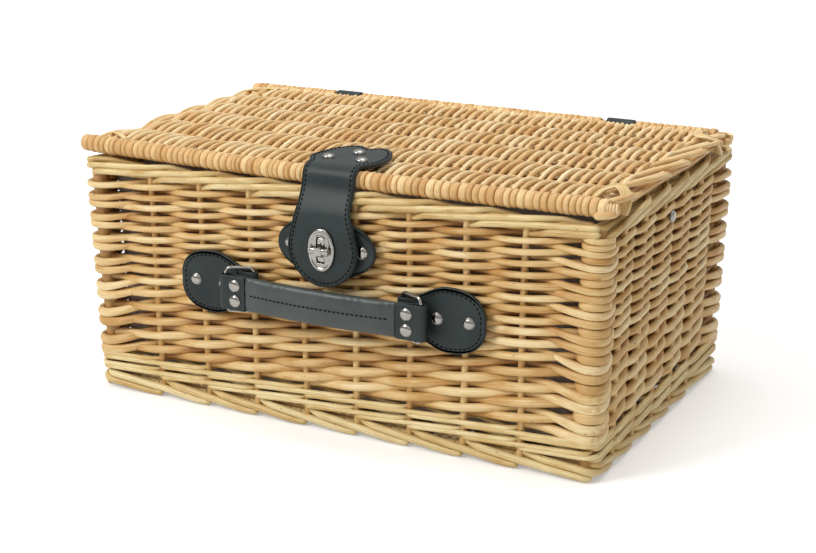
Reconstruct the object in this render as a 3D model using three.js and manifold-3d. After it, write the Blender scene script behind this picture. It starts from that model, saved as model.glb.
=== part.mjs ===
// A willow picnic basket with a hinged lid, a leather turn-lock clasp and a leather
// carrying handle on wire rings. Millimetres, +Z up, the front faces -Y.
import * as THREE from "three";
import { mergeVertices } from "three/addons/utils/BufferGeometryUtils.js";
import Module from "manifold-3d";

const wasm = await Module();
wasm.setup();

// Clearance between pieces that touch, and the wider one of pieces that move past each other.
const fitGap = 0.4;
const moveGap = 0.5;

// The body of the basket: outer plan at the rim and on the ground, and the bands of its height.
const rimWidth = 460;
const rimDepth = 292;
const baseWidth = 449;
const baseDepth = 286;
const cornerRadius = 10;
const innerCornerRadius = 4;
const footHeight = 13;
const footWidth = 17;
const footFlat = 7;
const floorBottom = 9.8;
const floorThickness = 7.2;
const floorInset = 5.5;
const floorStickCount = 7;
const floorRodPitch = 14;
const floorRodRise = 3;
const waleHeight = 18;
const waleThickness = 14;
const waleRods = 3;
const wallHeight = 148;
const wallThickness = 16.4;
const thickRows = 10;
const thickBandHeight = 61;
const thinRows = 20;
const stakePitch = 47;
const stakeDiameter = 6;
const weaverDiameter = 5.6;
const sideStakePitch = 45;
const postRadius = 11.5;
const postWraps = 12;
const rimHeight = 15;
const rimThickness = 21;
const rimStrandRise = 1.3;
const liningThickness = 1.6;
const liningCornerRadius = 12;

// The lid: a woven panel between a front and a back rail, with plaited side borders.
const lidOverhang = 2.5;
const railRadius = 7.5;
const railCore = 4.9;
const frontRailInset = 12;
const backRailInset = 24;
const lidPanelThickness = 12.4;
const lidRodPitch = 4.02;
const lidRodRise = 1.5;
const lidStickCount = 6;
const sideBorderWidth = 14;
const sideBorderPitch = 37.5;
const tieThickness = 0.5;
const tieWidth = 9;
const tieTurns = 3;

// Leather, rivets and where the leather work sits on the front.
const leather = 3;
const frontCentreX = 3.5;
const rivetHeadRadius = 4.9;
const rivetHeadHeight = 2.2;
const rivetShankRadius = 1.5;

// The clasp: a strap riveted on the lid, its hanging flap, and the turn lock behind and in it.
const claspNeckWidth = 45;
const claspPlateWidth = 61;
const claspPlateLength = 58;
const claspPlateDip = 6;
const flapWidth = 60;
const flapBottom = 124.6;
const lockHeight = 153.5;
const lockPatchWidth = 85;
const lockPatchHeight = 48;
const lockRivetSpread = 62;
const lockPlateWidth = 23;
const lockPlateHeight = 34;
const lockPlateThickness = 1.5;
const slotWidth = 7.6;
const slotHeight = 20.4;
const toggleLength = 17.6;
const toggleWidth = 5;
const toggleDepth = 4.4;
const shaftRadius = 2.4;

// The handle: a bowed grip between two riveted end loops, each on a wire ring in a wall patch.
const handleHeight = 109.6;
const patchRise = 1.9;
const gripHalfLength = 66;
const gripHeight = 28;
const gripThickness = 9.5;
const gripEndThickness = 5.2;
const gripBow = 4.8;
const patchReach = 133.5;
const patchWidest = 50;
const tabWidth = 28;
const patchRivets = [94, 120.4];
const ringWire = 1.3;
const ringLength = 22;
const ringHeight = 35.5;
const ringTilt = THREE.MathUtils.degToRad(24);
const ringX = 65.5;
const loopLeather = 2;
const handlePull = 6;
const handlePush = 3;
const handleRivetX = 75.3;
const handleRivetSpread = 12.4;

// The leather hinge straps at the back and the side rivets.
const hingeStrapWidth = 24;
const hingeStrapLeather = 2.2;
const hingeStrapInset = [101, 95];
const hingeStrapBend = 4;
const hingeTailBottom = 148;
const hingeRivets = [158, 176];
const sideRivetY = -12;
const sideRivetHeight = 174;
const sideRivetShank = 9;

// Heights that follow from the bands.
const waleBottom = floorBottom + floorThickness + fitGap;
const wallBottom = waleBottom + waleHeight + fitGap;
const wallTop = wallBottom + wallHeight;
const rimBottom = wallTop + fitGap;
const rimTop = rimBottom + rimHeight;
const railHeight = rimTop + fitGap + railRadius + fitGap + tieThickness;
const frontRailY = -(rimDepth / 2 - frontRailInset);
const backRailY = rimDepth / 2 - backRailInset;
const lidWidth = rimWidth + 2 * lidOverhang;
const patchHeight = handleHeight + patchRise;
const hingeStrapX = [hingeStrapInset[0] - rimWidth / 2, rimWidth / 2 - hingeStrapInset[1]];

const colours = {
  willow: [0xd9b577, 0.62],
  paleWillow: [0xd6c08a, 0.6],
  lidWillow: [0xd8a56a, 0.6],
  cloth: [0x8f8d92, 0.95],
  leather: [0x39444a, 0.45],
};

// One geometry from points and triangles, with its faces turned outwards.
function closedGeometry(points, triangles) {
  let volume = 0;
  for (const [a, b, c] of triangles) {
    volume += points[a].dot(new THREE.Vector3().crossVectors(points[b], points[c]));
  }
  const index = triangles.flatMap(([a, b, c]) => (volume < 0 ? [a, c, b] : [a, b, c]));
  const geometry = new THREE.BufferGeometry();
  geometry.setAttribute("position", new THREE.Float32BufferAttribute(points.flatMap((p) => p.toArray()), 3));
  geometry.setIndex(index);
  return geometry;
}

// A skin through loops of points. A closed loft joins its last loop to its first; an open one
// has an end face at each end, fanned from the end loop's centre.
function loft(loops, closed = false) {
  const size = loops[0].length;
  const points = loops.flat();
  const triangles = [];
  const last = closed ? loops.length : loops.length - 1;
  for (let i = 0; i < last; i += 1) {
    const from = i * size;
    const to = ((i + 1) % loops.length) * size;
    for (let j = 0; j < size; j += 1) {
      const k = (j + 1) % size;
      triangles.push([from + j, to + j, to + k], [from + j, to + k, from + k]);
    }
  }
  if (!closed) {
    for (const [end, turned] of [[0, true], [loops.length - 1, false]]) {
      const centre = new THREE.Vector3();
      loops[end].forEach((p) => centre.addScaledVector(p, 1 / size));
      points.push(centre);
      for (let j = 0; j < size; j += 1) {
        const a = end * size + j;
        const b = end * size + ((j + 1) % size);
        triangles.push(turned ? [a, b, points.length - 1] : [b, a, points.length - 1]);
      }
    }
  }
  return closedGeometry(points, triangles);
}

// Solid booleans on closed geometries.
function toSolid(geometry) {
  const bare = new THREE.BufferGeometry();
  bare.setAttribute("position", geometry.getAttribute("position"));
  if (geometry.index) bare.setIndex(geometry.index);
  const merged = mergeVertices(bare, 1e-4);
  return new wasm.Manifold(new wasm.Mesh({
    numProp: 3,
    vertProperties: new Float32Array(merged.attributes.position.array),
    triVerts: new Uint32Array(merged.index.array),
  }));
}

function fromSolid(solid) {
  const { vertProperties, triVerts } = solid.getMesh();
  const geometry = new THREE.BufferGeometry();
  geometry.setAttribute("position", new THREE.BufferAttribute(new Float32Array(vertProperties), 3));
  geometry.setIndex(new THREE.BufferAttribute(new Uint32Array(triVerts), 1));
  return geometry;
}

function joined(...geometries) {
  return fromSolid(geometries.map(toSolid).reduce((all, next) => all.add(next)));
}

function cut(geometry, ...tools) {
  return fromSolid(tools.map(toSolid).reduce((left, tool) => left.subtract(tool), toSolid(geometry)));
}

// The same piece on the other side of the plane x = centre.
function mirrored(geometry, centre) {
  const flat = geometry.index ? geometry.toNonIndexed() : geometry;
  const p = flat.getAttribute("position");
  const points = [];
  const triangles = [];
  for (let i = 0; i < p.count; i += 1) {
    points.push(new THREE.Vector3(2 * centre - p.getX(i), p.getY(i), p.getZ(i)));
    if (i % 3 === 2) triangles.push([i - 2, i - 1, i]);
  }
  return closedGeometry(points, triangles);
}

// The basket's outer half width and half depth at a height; it widens evenly towards the rim.
function halfWidth(z) {
  return THREE.MathUtils.lerp(baseWidth, rimWidth, z / rimTop) / 2;
}

function halfDepth(z) {
  return THREE.MathUtils.lerp(baseDepth, rimDepth, z / rimTop) / 2;
}

// Stations round the plan, counter-clockwise from the front left: each has the share of the
// corner centre's x and y, the outward normal, and the distance walked along the wall.
function planStations(spacing, cornerSteps = 3) {
  const straightX = rimWidth - 2 * cornerRadius;
  const straightY = rimDepth - 2 * cornerRadius;
  const stations = [];
  let walked = 0;
  [straightX, straightY, straightX, straightY].forEach((straight, side) => {
    const steps = Math.max(1, Math.round(straight / spacing));
    const angle = -Math.PI / 2 + (side * Math.PI) / 2;
    const across = new THREE.Vector2(-Math.sin(angle), Math.cos(angle));
    const out = new THREE.Vector2(Math.cos(angle), Math.sin(angle));
    for (let i = 0; i <= steps; i += 1) {
      const t = (2 * i) / steps - 1;
      stations.push({
        sx: across.x * t + out.x,
        sy: across.y * t + out.y,
        nx: out.x,
        ny: out.y,
        walked: walked + (straight * i) / steps,
        side,
      });
    }
    walked += straight;
    for (let i = 1; i < cornerSteps; i += 1) {
      const turned = angle + ((Math.PI / 2) * i) / cornerSteps;
      stations.push({
        sx: Math.sign(across.x + out.x),
        sy: Math.sign(across.y + out.y),
        nx: Math.cos(turned),
        ny: Math.sin(turned),
        walked,
        side,
      });
    }
  });
  return stations;
}

// A point of the plan at a station, an outward offset and a height. Deep inside, where the
// corner's own radius runs out, it has the inner radius.
function planPoint(station, out, z, innerRadius = innerCornerRadius) {
  const radius = Math.max(cornerRadius + out, innerRadius);
  return new THREE.Vector3(
    station.sx * (halfWidth(z) + out - radius) + station.nx * radius,
    station.sy * (halfDepth(z) + out - radius) + station.ny * radius,
    z,
  );
}

// A band that runs round the basket: profile(station, index) gives [outward offset, height] points.
function planRing(stations, profile) {
  return loft(
    stations.map((station, i) => profile(station, i).map(([out, z]) => planPoint(station, out, z))),
    true,
  );
}

// The foot border: rods rolled under the floor, whose ends scallop the outer lower edge.
function footBorder() {
  return planRing(planStations(stakePitch / 2, 2), (station, i) => {
    const dip = i % 2 ? 1.6 : 0;
    return [
      [-footWidth, 0],
      [-footWidth + footFlat + 4, 0],
      [-dip, 5 + dip],
      [-floorInset + fitGap, footHeight],
      [-floorInset + fitGap, floorBottom - fitGap],
      [-footWidth, floorBottom - fitGap],
    ];
  });
}

// The woven floor panel lies on the foot border. Its underside has the relief of rods that pass
// by turns over and under the cross sticks.
function floorPanel() {
  const stations = planStations(1000, 3);
  const shape = new THREE.Shape(
    stations.map((s) => {
      const p = planPoint(s, -floorInset, floorBottom);
      return new THREE.Vector2(p.x, p.y);
    }),
  );
  const outline = new THREE.ExtrudeGeometry(shape, { depth: floorThickness, bevelEnabled: false });
  const halfX = halfWidth(floorBottom) - floorInset;
  const halfY = halfDepth(floorBottom) - floorInset;
  const rods = Math.round((2 * halfX) / floorRodPitch);
  const grid = [];
  for (let row = 0; row <= floorStickCount + 1; row += 1) {
    const y = THREE.MathUtils.lerp(-halfY, halfY, row / (floorStickCount + 1));
    const line = [];
    for (let i = 0; i <= rods; i += 1) {
      const z = floorBottom + ((row + i) % 2 ? floorRodRise : 0);
      line.push(new THREE.Vector3(THREE.MathUtils.lerp(-halfX, halfX, i / rods), y, z));
    }
    grid.push(line);
  }
  const top = floorBottom + floorThickness;
  const woven = reliefSlab(grid, [
    new THREE.Vector3(-halfX, -halfY, top),
    new THREE.Vector3(halfX, -halfY, top),
    new THREE.Vector3(halfX, halfY, top),
    new THREE.Vector3(-halfX, halfY, top),
  ]);
  return fromSolid(toSolid(outline.translate(0, 0, floorBottom)).intersect(toSolid(woven)));
}

// The base wale: a few thin rods twined round all four walls just above the floor.
function baseWale() {
  const rod = waleHeight / waleRods;
  return planRing(planStations(stakePitch, 3), (station, i) => {
    const profile = [[-waleThickness, waleBottom]];
    for (let k = 0; k < waleRods; k += 1) {
      const swell = (i + k) % 2 ? 0.8 : 0;
      profile.push([-1.8, waleBottom + k * rod], [-swell, waleBottom + (k + 0.5) * rod]);
    }
    profile.push([-1.8, waleBottom + waleHeight], [-waleThickness, waleBottom + waleHeight]);
    return profile;
  });
}

// The rolled rim border: strands rise inside, roll over the top and slope down outside, so the
// ridges run slantwise, one way on the front and left and the other way on the back and right.
function rimBorder() {
  const half = rimThickness / 2;
  return planRing(planStations(stakePitch, 2), (station, i) => {
    const ridge = (k) => ((i + k) % 2 ? rimStrandRise : 0);
    return [
      [-rimThickness, rimBottom],
      [-0.6, rimBottom],
      [-ridge(0), rimBottom + rimHeight * 0.3],
      [-ridge(1), rimBottom + rimHeight * 0.68],
      [-4.4, rimTop - ridge(0)],
      [-half - 4, rimTop - ridge(1)],
      [-rimThickness, rimTop - 5],
    ];
  });
}

// A slab with a relief on its outer face: a grid of points in rows, closed at the back by the
// flat quad of four corners, which follow the grid's own four corners in the same order. The
// folds of a climbing relief all rise to the right, and those of another turn about.
function reliefSlab(grid, backCorners, climbing = false) {
  const width = grid[0].length;
  const points = [...grid.flat(), ...backCorners];
  const at = (row, column) => row * width + column;
  const top = grid.length - 1;
  const right = width - 1;
  const corner = points.length - 4;
  const triangles = [[corner, corner + 2, corner + 1], [corner, corner + 3, corner + 2]];
  for (let row = 0; row < top; row += 1) {
    for (let column = 0; column < right; column += 1) {
      const [a, b] = [at(row, column), at(row, column + 1)];
      const [c, d] = [at(row + 1, column + 1), at(row + 1, column)];
      if (climbing || (row + column) % 2) triangles.push([a, b, c], [a, c, d]);
      else triangles.push([a, b, d], [b, c, d]);
    }
    triangles.push([at(row, 0), at(row + 1, 0), corner]);
    triangles.push([at(row + 1, right), at(row, right), corner + 1]);
  }
  for (let column = 0; column < right; column += 1) {
    triangles.push([at(0, column + 1), at(0, column), corner]);
    triangles.push([at(top, column), at(top, column + 1), corner + 3]);
  }
  triangles.push([at(top, 0), corner + 3, corner], [at(top, right), corner + 1, corner + 2]);
  triangles.push([at(0, right), corner, corner + 1], [at(top, right), corner + 2, corner + 3]);
  return closedGeometry(points, triangles);
}

// The height of a row of the weave: thick rods fill the lower band and thin ones the upper.
function rowHeight(row) {
  if (row <= thickRows) return wallBottom + (thickBandHeight * row) / thickRows;
  return wallBottom + thickBandHeight + ((wallHeight - thickBandHeight) * (row - thickRows)) / thinRows;
}

// A wall of plain weave. Each weaver passes by turns before and behind the upright stakes and
// climbs one row at every stake, so all stakes have their crests at the same heights. The surface
// is a grid of the rows at the stakes, with crests and grooves, and halfway between them.
function wovenWall(acrossAt, stakes, pitch) {
  const behind = -(weaverDiameter + stakeDiameter) / 2;
  const grid = [];
  for (let row = 0; row <= thickRows + thinRows; row += 1) {
    const z = rowHeight(row);
    const line = [acrossAt(z, -1, 0, behind / 2)];
    for (let half = 0; half <= 2 * (stakes - 1); half += 1) {
      const along = ((half - stakes + 1) * pitch) / 2;
      const atStake = row % 2 ? 0 : behind;
      line.push(acrossAt(z, 0, along, half % 2 ? behind / 2 : atStake));
    }
    line.push(acrossAt(z, 1, 0, behind / 2));
    grid.push(line);
  }
  const backCorners = [
    acrossAt(wallBottom, -1, 0, -wallThickness),
    acrossAt(wallBottom, 1, 0, -wallThickness),
    acrossAt(wallTop, 1, 0, -wallThickness),
    acrossAt(wallTop, -1, 0, -wallThickness),
  ];
  return reliefSlab(grid, backCorners, true);
}

const postInset = 2 * postRadius + fitGap + 0.4;

function frontOrBackWall(sign) {
  const stakes = Math.floor((rimWidth - 2 * postInset) / stakePitch);
  return wovenWall((z, end, along, depth) => {
    const x = end ? end * (halfWidth(z) - postInset) : along;
    return new THREE.Vector3(x, sign * (halfDepth(z) + depth), z);
  }, stakes, stakePitch);
}

function sideWall(sign) {
  const stakes = Math.floor((rimDepth - 2 * postInset) / sideStakePitch);
  return wovenWall((z, end, along, depth) => {
    const y = end ? end * (halfDepth(z) - postInset) : along;
    return new THREE.Vector3(sign * (halfWidth(z) + depth), y, z);
  }, stakes, sideStakePitch);
}

// The hole for a side wall's rivet, and the rivet itself, whose shank ends inside the weave.
function placedOnSide(geometry, sign) {
  const x = sign * (halfWidth(sideRivetHeight) + fitGap);
  return geometry.rotateY((sign * Math.PI) / 2).translate(x, sideRivetY, sideRivetHeight);
}

function sideRivetHole(sign) {
  return placedOnSide(drill(rivetShankRadius + fitGap, -sideRivetShank - fitGap, 2), sign);
}

// A corner post with the weavers wrapped round it: a leaning column with a groove at each wrap.
function cornerPost(signX, signY) {
  const loops = [];
  for (let i = 0; i <= 2 * postWraps; i += 1) {
    const z = wallBottom + (wallHeight * i) / (2 * postWraps);
    const radius = postRadius - (i % 2 ? 0 : 1.1);
    const x = signX * (halfWidth(z) - postRadius);
    const y = signY * (halfDepth(z) - postRadius);
    loops.push(circle(6, radius).map((p) => new THREE.Vector3(x + p.x, y + p.y, z)));
  }
  return loft(loops);
}

function circle(count, radius, turn = 0.5) {
  return Array.from({ length: count }, (_, k) => {
    const angle = ((k + turn) / count) * 2 * Math.PI;
    return new THREE.Vector2(radius * Math.cos(angle), radius * Math.sin(angle));
  });
}

// The cloth lining: a thin open box that hangs inside the walls and covers the floor.
function lining() {
  const stations = planStations(1000, 3);
  const outer = -wallThickness - fitGap;
  const inner = outer - liningThickness;
  const bottom = waleBottom + fitGap;
  const floorTop = bottom + liningThickness;
  const ring = (out, z) => stations.map((s) => planPoint(s, out, z, liningCornerRadius + out - outer));
  const loops = [ring(outer, bottom), ring(outer, wallTop), ring(inner, wallTop), ring(inner, floorTop)];
  return loft(loops);
}

// A domed rivet along +Z with its shank below z = 0.
function rivetGeometry(shank) {
  const profile = [
    [0, -shank],
    [rivetShankRadius, -shank],
    [rivetShankRadius, 0],
    [rivetHeadRadius, 0],
    [rivetHeadRadius * 0.82, rivetHeadHeight * 0.66],
    [0, rivetHeadHeight],
  ];
  const turned = new THREE.LatheGeometry(profile.map(([r, z]) => new THREE.Vector2(r, z)), 8);
  return turned.rotateX(Math.PI / 2);
}

// A rod for cutting a rivet's or shaft's hole along +Z.
function drill(radius, from, to) {
  const rod = new THREE.CylinderGeometry(radius, radius, to - from, 8);
  return rod.rotateX(Math.PI / 2).translate(0, 0, (from + to) / 2);
}

// Turns a shape drawn in x and y, with its thickness along +Z, to face the front.
function facingFront(geometry) {
  return geometry.rotateX(Math.PI / 2);
}

function extruded(shape, depth, curveSegments = 6) {
  return new THREE.ExtrudeGeometry(shape, { depth, bevelEnabled: false, curveSegments });
}

const basket = new THREE.Group();

function addPiece(name, geometry, colour, roughness, metalness = 0) {
  const bare = new THREE.BufferGeometry();
  bare.setAttribute("position", geometry.getAttribute("position"));
  if (geometry.index) bare.setIndex(geometry.index);
  const mesh = new THREE.Mesh(
    bare,
    new THREE.MeshStandardMaterial({ color: colour, roughness, metalness, flatShading: true }),
  );
  mesh.name = name;
  basket.add(mesh);
  return mesh;
}

const metal = [0xd8d4cc, 0.22, 1];

// The woven body.
addPiece("foot_border", footBorder(), ...colours.paleWillow);
addPiece("floor_panel", floorPanel(), ...colours.willow);
addPiece("base_wale", baseWale(), ...colours.paleWillow);
addPiece("front_wall", frontOrBackWall(-1), ...colours.willow);
addPiece("back_wall", frontOrBackWall(1), ...colours.willow);
addPiece("left_wall", cut(sideWall(-1), sideRivetHole(-1)), ...colours.willow);
addPiece("right_wall", cut(sideWall(1), sideRivetHole(1)), ...colours.willow);
for (const [name, signX, signY] of [
  ["front_left", -1, -1],
  ["front_right", 1, -1],
  ["back_left", -1, 1],
  ["back_right", 1, 1],
]) {
  addPiece(`corner_post_${name}`, cornerPost(signX, signY), ...colours.willow);
}
addPiece("rim_border", rimBorder(), ...colours.paleWillow);
addPiece("cloth_lining", lining(), ...colours.cloth);

// Faces of the front wall that the leather lies on; a patch spans a band of heights, so it
// lies at the outermost of them.
function wallFace(z) {
  return halfDepth(z) + fitGap;
}

// Left and right rivets that clamp leather to the wall: the shank ends in the weave's hollow.
function addFrontRivet(name, x, z, face) {
  const rivet = facingFront(rivetGeometry(leather - fitGap)).translate(x, -face - fitGap, z);
  addPiece(name, rivet, ...metal);
}

function frontHole(x, z, face, thickness) {
  const bit = facingFront(drill(rivetShankRadius + fitGap, -thickness - 1, 1));
  return bit.translate(x, -face, z);
}

// The wall patch of the handle, drawn for the right side about the handle's centre line.
const patchTop = patchHeight + patchWidest / 2;
const patchInner = wallFace(patchTop);
const patchOuter = patchInner + leather;
const sleeveInner = ringWire + fitGap;
const sleeveOuter = sleeveInner + loopLeather;
const ringY = -(patchInner + sleeveOuter - 0.2);

function patchSheet() {
  const half = patchWidest / 2;
  const tab = tabWidth / 2;
  const start = ringX + sleeveOuter * 0.4;
  const shape = new THREE.Shape();
  shape.moveTo(start, -tab);
  shape.lineTo(start + 8, -tab);
  shape.bezierCurveTo(start + 20, -tab - 2, start + 26, -half, start + 42, -half);
  shape.bezierCurveTo(patchReach - 6, -half, patchReach, -half + 9, patchReach, 0);
  shape.bezierCurveTo(patchReach, half - 9, patchReach - 6, half, start + 42, half);
  shape.bezierCurveTo(start + 26, half, start + 20, tab + 2, start + 8, tab);
  shape.lineTo(start, tab);
  return facingFront(extruded(shape, leather, 5)).translate(0, -patchInner, 0);
}

// The tab folds round the ring's inner leg: a sleeve with a hole, running along z.
function tabSleeve() {
  const shape = new THREE.Shape();
  const far = ringX + 14;
  shape.moveTo(far, -patchInner);
  shape.lineTo(far, -patchOuter);
  shape.lineTo(ringX + sleeveOuter * 1.6, -patchOuter);
  shape.absarc(ringX, ringY, sleeveOuter, -0.5, -Math.PI * 1.5, true);
  shape.lineTo(ringX + 4, -patchInner);
  const hole = new THREE.Path();
  hole.absarc(ringX, ringY, sleeveInner, 0, 2 * Math.PI, false);
  shape.holes.push(hole);
  return extruded(shape, tabWidth, 5).translate(0, 0, -tabWidth / 2);
}

function handlePatch() {
  const holes = patchRivets.map((x) => frontHole(x, 0, patchOuter, leather));
  return cut(joined(patchSheet(), tabSleeve()), ...holes).translate(0, 0, patchHeight);
}

// A rectangular wire ring in the plane x and z, its inner leg on x = 0 and its far leg on
// x = ringLength, then swung outwards by the tilt that it has at rest.
function wireRing() {
  const half = ringHeight / 2;
  const bend = 3.2;
  const corners = [[0, -half], [ringLength, -half], [ringLength, half], [0, half]];
  const loops = [];
  corners.forEach(([x, z], i) => {
    const cx = x + (x > 0 ? -bend : bend);
    const cz = z + (z > 0 ? -bend : bend);
    for (const step of [0, 0.5, 1]) {
      const angle = Math.PI + (i + step) * (Math.PI / 2);
      const out = new THREE.Vector3(Math.cos(angle), 0, Math.sin(angle));
      const centre = new THREE.Vector3(cx, 0, cz).addScaledVector(out, bend);
      loops.push(circle(6, ringWire).map((p) => (
        centre.clone().addScaledVector(out, p.x).add(new THREE.Vector3(0, p.y, 0))
      )));
    }
  });
  return loft(loops, true).rotateZ(-ringTilt).translate(ringX, ringY, patchHeight - 0.6);
}

// Where the ring's outer leg is at rest, pulled out and pushed in, about the handle's centre.
const outerLegX = ringX + ringLength * Math.cos(ringTilt);
const outerLegY = ringY - ringLength * Math.sin(ringTilt);
const pulledTilt = Math.asin(Math.sin(ringTilt) + handlePull / ringLength);
const pushedTilt = Math.asin(Math.sin(ringTilt) - handlePush / ringLength);
const legInward = ringLength * (Math.cos(ringTilt) - Math.cos(pulledTilt));
const legOutward = ringLength * (Math.cos(pushedTilt) - Math.cos(ringTilt));
const cavityHalf = ringWire + moveGap + 0.3;
const cavityFrom = outerLegX - legInward - ringWire - moveGap;
const cavityTo = outerLegX + legOutward + ringWire + moveGap;
const loopFrontY = outerLegY - cavityHalf - loopLeather;
const loopEnd = cavityTo + loopLeather;
const strapBackY = loopFrontY + gripEndThickness;
const gripRest = 0.4;

// The handle's end: leather folded round the ring's outer leg and riveted to itself.
function handleEnd() {
  const innerY = outerLegY + cavityHalf + loopLeather;
  const shape = new THREE.Shape();
  const round = (innerY - loopFrontY) / 2;
  shape.moveTo(gripHalfLength + gripRest, loopFrontY);
  shape.lineTo(loopEnd - round, loopFrontY);
  shape.absarc(loopEnd - round, loopFrontY + round, round, -Math.PI / 2, Math.PI / 2, false);
  shape.lineTo(cavityFrom - 0.5, innerY);
  shape.lineTo(cavityFrom - 3.4, strapBackY);
  shape.lineTo(gripHalfLength + gripRest, strapBackY);
  const cavity = new THREE.Path();
  const arc = cavityHalf;
  cavity.moveTo(cavityFrom + arc, outerLegY - arc);
  cavity.absarc(cavityFrom + arc, outerLegY, arc, -Math.PI / 2, Math.PI / 2, true);
  cavity.lineTo(cavityTo - arc, outerLegY + arc);
  cavity.absarc(cavityTo - arc, outerLegY, arc, Math.PI / 2, -Math.PI / 2, true);
  shape.holes.push(cavity);
  const end = extruded(shape, gripHeight, 4).translate(0, 0, -gripHeight / 2);
  const holes = [-0.5, 0.5].map((k) => (
    frontHole(handleRivetX, k * handleRivetSpread, -loopFrontY, leather)
  ));
  return cut(end, ...holes).translate(0, 0, handleHeight);
}

// The grip: a padded, stitched leather roll that bows away from the wall and thins at its ends.
function handleGrip() {
  const steps = 12;
  const sections = 12;
  const loops = [];
  for (let i = 0; i <= steps; i += 1) {
    const t = (2 * i) / steps - 1;
    const swell = 1 - t * t;
    const outerY = loopFrontY - gripBow * swell;
    const thickness = THREE.MathUtils.lerp(gripEndThickness, gripThickness, Math.min(1, 2.4 * swell));
    const middleY = outerY + thickness / 2;
    const loop = [];
    for (let k = 0; k < sections; k += 1) {
      const angle = ((k + 0.5) / sections) * 2 * Math.PI;
      const square = (value, power) => Math.sign(value) * Math.abs(value) ** power;
      loop.push(new THREE.Vector3(
        frontCentreX + t * gripHalfLength,
        middleY + (thickness / 2) * square(Math.sin(angle), 0.8),
        handleHeight + (gripHeight / 2) * square(Math.cos(angle), 0.55),
      ));
    }
    loops.push(loop);
  }
  return loft(loops);
}

// Both ends of the handle, the left one mirrored.
for (const side of ["left", "right"]) {
  const place = (geometry) => {
    const right = geometry.translate(frontCentreX, 0, 0);
    return side === "right" ? right : mirrored(right, frontCentreX);
  };
  const sign = side === "right" ? 1 : -1;
  addPiece(`handle_patch_${side}`, place(handlePatch()), ...colours.leather);
  addPiece(`handle_ring_${side}`, place(wireRing()), ...metal);
  addPiece(`handle_end_${side}`, place(handleEnd()), ...colours.leather);
  patchRivets.forEach((x, i) => {
    const name = `patch_rivet_${side}_${i ? "outer" : "inner"}`;
    addFrontRivet(name, frontCentreX + sign * x, patchHeight, patchOuter);
  });
  [["lower", -0.5], ["upper", 0.5]].forEach(([level, k]) => {
    const z = handleHeight + k * handleRivetSpread;
    addFrontRivet(`handle_rivet_${side}_${level}`, frontCentreX + sign * handleRivetX, z, -loopFrontY);
  });
}
addPiece("handle_grip", handleGrip(), ...colours.leather);

// The lock's backing patch and base plate on the wall, and the turning toggle through them.
const lockPatchInner = wallFace(lockHeight + lockPatchHeight / 2);
const lockPatchOuter = lockPatchInner + leather;
const lockBaseInner = lockPatchOuter + fitGap;
const lockBaseOuter = lockBaseInner + lockPlateThickness;
const flapInner = Math.max(lockBaseOuter, lockPatchOuter + fitGap + rivetHeadHeight) + fitGap + 0.1;
const flapOuter = flapInner + leather;
const eyeletInner = flapOuter + fitGap;
const eyeletOuter = eyeletInner + lockPlateThickness;
const toggleInner = eyeletOuter + moveGap;

function ellipseShape(width, height) {
  const shape = new THREE.Shape();
  shape.absellipse(0, 0, width / 2, height / 2, 0, 2 * Math.PI, false, 0);
  return shape;
}

function slotShape(width, height) {
  const shape = new THREE.Shape();
  const w = width / 2;
  const h = height / 2;
  const r = 1.2;
  shape.moveTo(-w + r, -h);
  shape.lineTo(w - r, -h);
  shape.absarc(w - r, -h + r, r, -Math.PI / 2, 0, false);
  shape.absarc(w - r, h - r, r, 0, Math.PI / 2, false);
  shape.absarc(-w + r, h - r, r, Math.PI / 2, Math.PI, false);
  shape.absarc(-w + r, -h + r, r, Math.PI, Math.PI * 1.5, false);
  return shape;
}

function lockPatch() {
  const sheet = facingFront(extruded(ellipseShape(lockPatchWidth, lockPatchHeight), leather, 14));
  sheet.translate(0, -lockPatchInner, 0);
  const holes = [-0.5, 0.5].map((k) => frontHole(k * lockRivetSpread, 0, lockPatchOuter, leather));
  return cut(sheet, ...holes).translate(frontCentreX, 0, lockHeight);
}

function lockBase() {
  const shape = ellipseShape(lockPlateWidth, lockPlateHeight);
  const bore = new THREE.Path();
  bore.absarc(0, 0, shaftRadius + fitGap, 0, 2 * Math.PI, false);
  shape.holes.push(bore);
  const plate = facingFront(extruded(shape, lockPlateThickness, 10));
  return plate.translate(frontCentreX, -lockBaseInner, lockHeight);
}

function toggle() {
  const shape = slotShape(toggleLength, toggleWidth);
  const bar = facingFront(extruded(shape, toggleDepth, 3)).translate(0, -toggleInner, 0);
  const shaft = facingFront(drill(shaftRadius, lockBaseInner, toggleInner + 1));
  return joined(bar, shaft).translate(frontCentreX, 0, lockHeight);
}

addPiece("lock_patch", lockPatch(), ...colours.leather);
["left", "right"].forEach((side, i) => {
  const x = frontCentreX + (i - 0.5) * lockRivetSpread;
  addFrontRivet(`lock_rivet_${side}`, x, lockHeight, lockPatchOuter);
});
addPiece("lock_base", lockBase(), ...metal);
addPiece("turn_toggle", toggle(), ...metal);

// The clasp's path in y and z: over the front rail, down its front, out to the lock's plane.
const strapInner = railRadius + fitGap;
const strapOuter = strapInner + leather;
const bendEnd = railHeight;
const flapTop = bendEnd - fitGap;

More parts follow.
